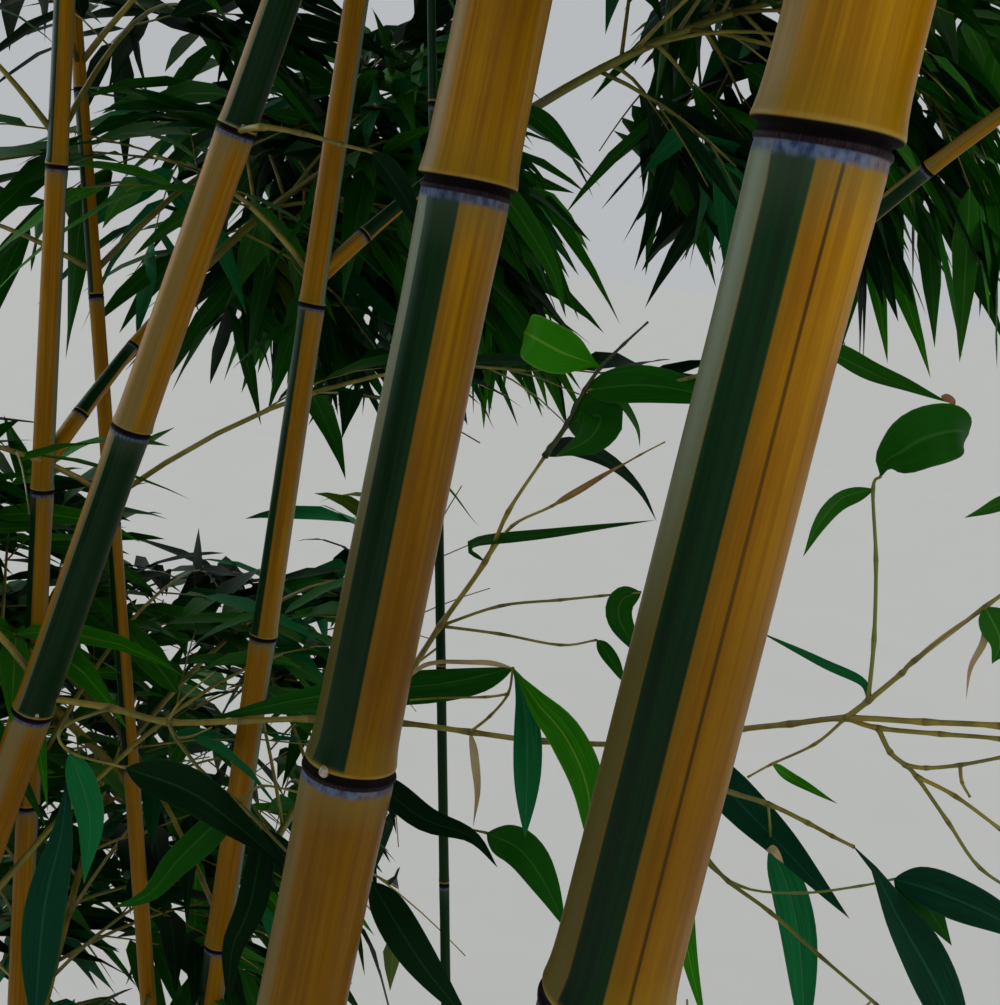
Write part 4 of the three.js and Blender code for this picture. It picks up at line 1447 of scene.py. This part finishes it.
class Shader:
    """A material's node tree, with one short call for each kind of node."""

    def __init__(self, name):
        self.material = bpy.data.materials.new(name)
        self.material.use_nodes = True
        self.tree = self.material.node_tree
        self.surface = self.tree.nodes["Principled BSDF"]

    def node(self, kind, **settings):
        made = self.tree.nodes.new(kind)
        for key, value in settings.items():
            setattr(made, key, value)
        return made

    def put(self, socket, value):
        if hasattr(value, "is_output"):
            self.tree.links.new(value, socket)
        else:
            socket.default_value = value

    def math(self, operation, a, b=0.0, clamp=False):
        made = self.node("ShaderNodeMath", operation=operation, use_clamp=clamp)
        for socket, value in zip(made.inputs, (a, b)):
            self.put(socket, value)
        return made.outputs[0]

    def times(self, a, b, clamp=False):
        return self.math("MULTIPLY", a, b, clamp)

    def plus(self, a, b, clamp=False):
        return self.math("ADD", a, b, clamp)

    def minus(self, a, b):
        return self.math("SUBTRACT", a, b)

    def larger(self, a, b):
        return self.math("MAXIMUM", a, b)

    def size(self, a):
        return self.math("ABSOLUTE", a)

    def step(self, value, low, high, start=0.0, end=1.0):
        """A smooth change from start at low to end at high."""
        made = self.node("ShaderNodeMapRange", interpolation_type="SMOOTHSTEP")
        for socket, given in zip(made.inputs[:5], (value, low, high, start, end)):
            self.put(socket, given)
        return made.outputs[0]

    def band(self, value, low, low_end, high, high_end):
        """1 between two smooth changes, and 0 outside them."""
        return self.times(self.step(value, low, low_end), self.step(value, high, high_end))

    def mix(self, share, a, b):
        """A mix of two colours. Three numbers are red, green and blue of 255."""
        made = self.node("ShaderNodeMix", data_type="RGBA")
        self.put(made.inputs["Factor"], share)
        for socket, value in ((made.inputs[6], a), (made.inputs[7], b)):
            plain = isinstance(value, tuple) and len(value) == 3
            self.put(socket, linear(*value) if plain else value)
        return made.outputs[2]

    def attribute(self, name):
        made = self.node("ShaderNodeAttribute", attribute_name=name)
        split = self.node("ShaderNodeSeparateXYZ")
        self.put(split.inputs[0], made.outputs["Vector"])
        return split.outputs

    def vector(self, x, y, z):
        made = self.node("ShaderNodeCombineXYZ")
        for socket, value in zip(made.inputs, (x, y, z)):
            self.put(socket, value)
        return made.outputs[0]

    def noise(self, vector, scale, detail, roughness):
        made = self.node("ShaderNodeTexNoise")
        self.put(made.inputs["Vector"], vector)
        self.put(made.inputs["Scale"], scale)
        self.put(made.inputs["Detail"], detail)
        self.put(made.inputs["Roughness"], roughness)
        return made.outputs[0]

    def object_place(self):
        return self.node("ShaderNodeTexCoord").outputs["Object"]

    def bump(self, height, strength, distance):
        made = self.node("ShaderNodeBump")
        self.put(made.inputs["Strength"], strength)
        self.put(made.inputs["Distance"], distance)
        self.put(made.inputs["Height"], height)
        self.put(self.surface.inputs["Normal"], made.outputs[0])

    def set(self, **values):
        for key, value in values.items():
            self.put(self.surface.inputs[key.replace("_", " ")], value)

    def coat(self, base, layers, rough, bump):
        """A plain finish. base is (value, low, high, colour, colour), a layer over it (value,
        low, high, share, colour), rough (value, least, most) and bump what bump takes."""
        value, low, high, one, other = base
        colour = self.mix(self.step(value, low, high), one, other)
        for value, low, high, share, over in layers:
            colour = self.mix(self.step(value, low, high, 0.0, share), colour, over)
        value, least, most = rough
        self.set(Base_Color=colour, Roughness=self.step(value, *NOISE_RANGE, least, most))
        self.bump(*bump)
        return self.material


# How far above the soil the painted shade on a culm starts to darken it downwards, and where it is
# darkest
PAINTED_LOW_SHADE = dict(none_above=1.00, most_below=0.78)


def culm_material():
    """Yellow cane with a green stripe in its groove, and the ringed nodes."""
    s = Shader("striped_cane")
    cosine, sine, half_width = s.attribute("around")
    above, below, own = s.attribute("along")
    hairline, painted_low_shade, far = s.attribute("lines")
    angle = s.math("ARCTAN2", sine, cosine)
    def place(around, upward, part):
        return s.vector(s.times(angle, around), s.times(far, upward), s.times(own, part))
    streak = s.noise(place(3.4, 2.2, 31.0), 2.2, 4.0, 0.62)
    fine = s.noise(place(9.0, 3.0, 1.0), 6.0, 3.0, 0.6)
    cloud = s.noise(place(0.8, 9.0, 17.0), 1.6, 3.0, 0.55)
    blot = s.noise(place(3.6, 90.0, 23.0), 1.8, 3.0, 0.6)

    amber = s.mix(s.step(streak, 0.32, 0.70), (156, 104, 0), (188, 136, 0))
    amber = s.mix(s.step(cloud, 0.40, 0.75, 0.0, 0.50), amber, (130, 78, 0))
    # Painted shade: the amber, the green stripe and the sheen strips turn darker towards the soil, as
    # strongly as the culm sets
    low_shade = s.step(far, PAINTED_LOW_SHADE["none_above"], PAINTED_LOW_SHADE["most_below"])
    low_shade = s.times(low_shade, painted_low_shade, clamp=True)
    amber = s.mix(s.times(low_shade, 0.64), amber, (88, 56, 0))
    near_foot = s.step(above, 0.030, 0.004)
    near_top = s.step(below, 0.026, 0.006)
    olive = s.larger(s.times(near_foot, 0.45), s.times(near_top, 0.45))
    amber = s.mix(olive, amber, (136, 112, 14))

    edge = s.plus(half_width, s.times(s.minus(fine, 0.5), 0.030))
    off = s.minus(s.size(angle), edge)
    stripe = s.step(off, 0.022, -0.022)
    shoulder = s.step(off, 0.20, 0.0, 0.0, 0.42)
    stripe = s.times(stripe, s.step(above, 0.0030, 0.0062))
    green = s.mix(s.step(streak, 0.30, 0.66), (4, 36, 10), (12, 56, 20))
    green = s.mix(s.step(fine, 0.56, 0.72, 0.0, 0.55), green, (4, 20, 8))
    green = s.mix(s.times(low_shade, 0.40), green, (2, 20, 4))
    body = s.mix(shoulder, amber, (112, 88, 12))
    # Painted sheen: a pale grey-green strip of reflected light beside the stripe, and a weaker pale
    # olive one on the far side, both patchy
    sheen_strip = s.band(angle, -0.30, -0.42, -1.45, -1.05)
    other = s.band(angle, 1.78, 2.06, 2.95, 2.70)
    patchy = s.step(streak, 0.2, 0.7, 0.60, 0.92)
    sheen_colour = s.mix(low_shade, (104, 132, 112), (74, 78, 34))
    body = s.mix(s.times(sheen_strip, patchy), body, sheen_colour)
    body = s.mix(s.times(other, s.times(patchy, 0.66)), body, (132, 126, 84))
    body = s.mix(stripe, body, green)

    line_off = s.size(s.minus(angle, hairline))
    line = s.times(s.step(line_off, 0.040, 0.016), s.step(hairline, 0.0, 0.1))
    line = s.times(line, s.step(streak, 0.15, 0.5, 0.35, 0.85))
    body = s.mix(line, body, (50, 34, 4))

    # Painted highlight: a pale band on the ledge just above each node, patchy with noise
    painted_ledge_highlight = s.band(above, 0.0018, 0.0024, 0.0050, 0.0026)
    painted_ledge_highlight = s.times(painted_ledge_highlight, s.step(cloud, 0.30, 0.60, 0.15, 0.62))
    body = s.mix(painted_ledge_highlight, body, (188, 158, 74))

    wax_edge = s.plus(0.0068, s.times(s.minus(blot, 0.5), 0.0032))
    wax = s.step(s.minus(below, wax_edge), 0.0016, -0.0010)
    wax = s.times(wax, s.step(cloud, 0.26, 0.58, 0.45, 0.95))
    wax_colour = s.mix(s.step(blot, 0.36, 0.64), (20, 42, 104), (94, 112, 148))
    body = s.mix(wax, body, wax_colour)
    haze = s.step(below, 0.034, 0.006, 0.0, 0.14)
    body = s.mix(haze, body, (120, 128, 108))

    lip = s.step(below, 0.0040, 0.0032)
    body = s.mix(lip, body, s.mix(s.step(fine, 0.4, 0.7), (18, 12, 22), (58, 38, 44)))
    # The dark ring at each node: the scar's own dark colour, darkened nearly to black in the groove as
    # painted shade
    groove_scar_and_shade = s.larger(s.step(below, 0.0020, 0.0010), s.step(above, 0.0030, 0.0022))
    body = s.mix(groove_scar_and_shade, body, s.mix(s.step(fine, 0.35, 0.7), (7, 3, 4), (22, 12, 12)))

    rough = s.plus(s.step(fine, 0.2, 0.8, 0.30, 0.40), s.times(wax, 0.34))
    rough = s.plus(rough, s.times(groove_scar_and_shade, 0.3), clamp=True)
    s.set(Base_Color=body, Roughness=rough, Specular_IOR_Level=0.13)
    s.bump(s.plus(s.times(fine, 0.7), s.times(streak, 0.5)), 0.16, 0.0008)
    return s.material


LEAF_ROUGHNESS = 0.56


def leaf_material(name, upper, vein):
    """A green blade with a pale midrib and fine veins along it."""
    s = Shader(name)
    across, along, own = s.attribute("blade")
    side = s.size(across)
    place = s.vector(s.times(across, 7.0), s.times(along, 1.4), s.times(own, 40.0))
    veins = s.noise(place, 2.6, 3.0, 0.6)
    patch = s.noise(s.object_place(), 26.0, 3.0, 0.55)
    *plain, solid = linear(*upper)
    lighter = (*(min(1, channel * 1.55) for channel in plain), solid)
    darker = (*(channel * 0.62 for channel in plain), solid)
    colour = s.mix(s.step(veins, 0.30, 0.72), darker, lighter)
    colour = s.mix(s.step(patch, 0.35, 0.70), colour, upper)
    colour = s.mix(s.step(own, 0.55, 1.0, 0.0, 0.35), colour, lighter)
    rib = s.step(side, 0.085, 0.02, 0.0, 0.55)
    colour = s.mix(rib, colour, vein)
    rim = s.step(side, 0.90, 1.0, 0.0, 0.35)
    colour = s.mix(rim, colour, vein)
    dry = s.times(s.step(along, 0.95, 1.0), s.step(own, 0.35, 0.75, 0.0, 0.8))
    colour = s.mix(dry, colour, (150, 104, 52))
    rough = s.step(veins, 0.2, 0.8, LEAF_ROUGHNESS - 0.06, LEAF_ROUGHNESS + 0.08)
    s.set(Base_Color=colour, Roughness=rough, Specular_IOR_Level=0.08)
    s.bump(s.plus(s.times(veins, 0.8), s.times(rib, -0.6)), 0.22, 0.0006)
    return s.material


def twig_material():
    s = Shader("twig_bark")
    place, own, tone = s.attribute("stalk")
    patch = s.noise(s.object_place(), 60.0, 3.0, 0.6)
    colour = s.mix(s.step(patch, 0.35, 0.68), (122, 112, 34), (164, 148, 58))
    colour = s.mix(s.step(own, 0.3, 0.9, 0.0, 0.55), colour, (92, 106, 40))
    joint = s.larger(s.step(place, 0.16, 0.0), s.step(place, 0.86, 1.0))
    colour = s.mix(s.times(joint, 0.55), colour, (70, 48, 28))
    colour = s.mix(s.step(tone, 1.5, 1.9, 0.0, 0.6), colour, (110, 134, 48))
    dark = s.band(tone, 0.5, 0.9, 1.5, 1.1)
    colour = s.mix(s.times(dark, 0.9), colour, (22, 48, 10))
    s.set(Base_Color=colour, Roughness=s.step(patch, *NOISE_RANGE, 0.42, 0.60))
    s.bump(patch, 0.25, 0.0006)
    return s.material


HUSK_TONES = {
    "straw": ((188, 168, 118), (168, 136, 92)),
    "rusty": ((150, 96, 40), (176, 74, 26)),
}


def husk_material(tone):
    s = Shader("dry_sheath_" + tone)
    across, along, _own = s.attribute("blade")
    grain = s.noise(s.vector(s.times(across, 6.0), along, 0.0), 3.0, 4.0, 0.6)
    layers = [(along, 0.90, 1.0, 1.0, (96, 64, 40)), (grain, 0.4, 0.7, 0.4, (222, 204, 160))]
    return s.coat((along, 0.30, 0.62, *HUSK_TONES[tone]), layers, (grain, 0.55, 0.75),
                  (grain, 0.3, 0.0006))


def bud_material():
    s = Shader("bud_scale")
    place, _own, _none = s.attribute("stalk")
    grain = s.noise(s.object_place(), 420.0, 3.0, 0.6)
    return s.coat((grain, 0.35, 0.7, (150, 136, 112), (206, 200, 184)),
                  [(place, 0.70, 1.0, 0.6, (84, 64, 48))], (grain, 0.5, 0.7),
                  (grain, 0.4, 0.0004))


def pot_material():
    """A matte grey-brown glaze with fine specks."""
    s = Shader("speckled_glaze")
    place = s.object_place()
    cloud = s.noise(place, 5.0, 4.0, 0.55)
    speck = s.noise(place, 420.0, 2.0, 0.6)
    grain = s.noise(place, 90.0, 4.0, 0.6)
    layers = [(grain, 0.40, 0.72, 0.35, (84, 76, 66)), (speck, 0.63, 0.69, 0.75, (44, 36, 30))]
    return s.coat((cloud, 0.34, 0.68, (96, 92, 86), (122, 116, 106)), layers,
                  (grain, 0.42, 0.60), (s.plus(grain, s.times(speck, 0.4)), 0.18, 0.0012))


def soil_material():
    s = Shader("dark_soil")
    place = s.object_place()
    clod = s.noise(place, 70.0, 5.0, 0.65)
    grit = s.noise(place, 620.0, 3.0, 0.6)
    return s.coat((clod, 0.36, 0.66, (34, 24, 18), (74, 54, 38)),
                  [(grit, 0.62, 0.72, 0.7, (122, 100, 74))], (clod, 0.86, 0.98),
                  (s.plus(clod, s.times(grit, 0.5)), 0.8, 0.003))


def chip_material():
    s = Shader("bark_mulch")
    place = s.object_place()
    tone = s.noise(place, 34.0, 2.0, 0.5)
    grain = s.noise(place, 380.0, 3.0, 0.6)
    return s.coat((tone, 0.38, 0.64, (66, 42, 26), (134, 96, 60)),
                  [(grain, 0.45, 0.7, 0.5, (44, 30, 20))], (grain, 0.7, 0.9),
                  (grain, 0.5, 0.001))


def floor_material():
    s = Shader("pale_floor")
    grain = s.noise(s.object_place(), 3.0, 3.0, 0.5)
    s.set(Base_Color=s.mix(grain, (189, 189, 186), (193, 193, 190)), Roughness=0.8)
    return s.material


# Each shade's blade and its midrib
LEAF_SHADES = {
    "bright": ((40, 118, 2), (120, 168, 60)),
    "fresh": ((30, 92, 12), (88, 138, 48)),
    "dark": ((16, 78, 4), (62, 112, 44)),
    "deep": ((5, 40, 14), (38, 84, 40)),
    "teal": ((14, 100, 52), (60, 122, 76)),
    "olive": ((74, 100, 14), (130, 148, 60)),
    "sea": ((4, 54, 34), (30, 92, 66)),
}


# Assembly

def finish_piece(piece, material, slot, *nodes):
    piece.data.materials.append(material)
    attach(piece, "root")
    if nodes:
        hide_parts(*nodes)
    return piece


def build_plant():
    cane = culm_material()
    for k, culm in enumerate(CULMS):
        finish_piece(build_culm(culm, 20 + k), cane, "culm", "culm_" + culm["name"])
    bough_nodes = ["bough_" + limb["name"] for limb in BOUGH_LIMBS]
    finish_piece(build_boughs(), cane, "bough", *bough_nodes)
    finish_piece(build_buds(), bud_material(), "culm")
    leaf_finish = {shade: leaf_material("leaf_" + shade, *colours)
                   for shade, colours in LEAF_SHADES.items()}
    bark = twig_material()
    foliage_nodes = ["foliage_" + mass["name"] for mass in MASSES]
    near_nodes = ["foliage_" + name for name in HAND_PLACED]
    leaves, twigs = build_foliage()
    finish_piece(twigs, bark, "bough", *foliage_nodes)
    for shade, piece in leaves.items():
        finish_piece(piece, leaf_finish[shade], "foliage", *foliage_nodes)
    near_twigs, points = build_near_twigs()
    near_leaves, husks = build_near_leaves(points)
    near_limbs = ["bough_" + limb["name"] for limb in LOW_LIMBS]
    finish_piece(near_twigs, bark, "bough", *near_limbs, *near_nodes)
    for shade, piece in near_leaves.items():
        finish_piece(piece, leaf_finish[shade], "foliage", *near_nodes)
    for tone, piece in husks.items():
        finish_piece(piece, husk_material(tone), "foliage", *near_nodes)


def build_container():
    finish_piece(build_pot(), pot_material(), "pot", "pot")
    finish_piece(build_soil(), soil_material(), "soil", "soil")
    finish_piece(build_chips(), chip_material(), "soil")


# Stage: floor, lights and camera

FLOOR = dict(size=60.0, below=0.0005)
STUDIO = dict(colour=(0.92, 0.95, 0.98, 1), strength=0.52)


def build_floor():
    size = FLOOR["size"]
    corners = np.array([[-size, -size, 0], [size, -size, 0], [size, size, 0], [-size, size, 0]])
    floor = make_object("floor", corners - (0, 0, FLOOR["below"]), [np.array([[0, 1, 2, 3]])],
                        smooth=False)
    floor.data.materials.append(floor_material())


def placed(axes, at):
    """The matrix of something whose own axes are the columns of axes."""
    return Matrix([[*row, value] for row, value in zip(axes, at)] + [[0, 0, 0, 1]])


def soft_sun(name, toward, strength, spread, colour):
    """A distant lamp that stands in the direction toward, and is spread degrees wide."""
    data = bpy.data.lights.new(name, "SUN")
    data.energy = strength
    data.angle = math.radians(spread)
    data.color = colour
    lamp = bpy.data.objects.new(name, data)
    back = unit(toward)
    side = unit(np.cross(UP, back))
    lamp.matrix_world = placed(np.column_stack([side, np.cross(back, side), back]), (0, 0, 4))
    bpy.context.scene.collection.objects.link(lamp)


def build_lights():
    soft_sun("key", direction(-28, 46), strength=1.35, spread=24, colour=(1.0, 0.96, 0.88))
    soft_sun("rim", direction(160, 20), strength=1.3, spread=60, colour=(0.86, 0.94, 1.0))
    world = bpy.data.worlds.new("studio")
    world.use_nodes = True
    background = world.node_tree.nodes["Background"]
    background.inputs["Color"].default_value = STUDIO["colour"]
    background.inputs["Strength"].default_value = STUDIO["strength"]
    bpy.context.scene.world = world


def build_camera():
    data = bpy.data.cameras.new("camera")
    data.sensor_width = SENSOR
    data.lens = PICTURE["focal"] * SENSOR / max(PICTURE["width"], PICTURE["height"])
    data.clip_start = 0.01
    data.clip_end = 100
    camera = bpy.data.objects.new("camera", data)
    axes = np.column_stack([CAMERA_RIGHT, CAMERA_UP, -CAMERA_FORWARD])
    camera.matrix_world = placed(axes, CAMERA_AT)
    bpy.context.scene.collection.objects.link(camera)
    bpy.context.scene.camera = camera


build_camera()
build_lights()
build_floor()
build_plant()
build_container()
bpy.context.scene.view_settings.view_transform = "Standard"
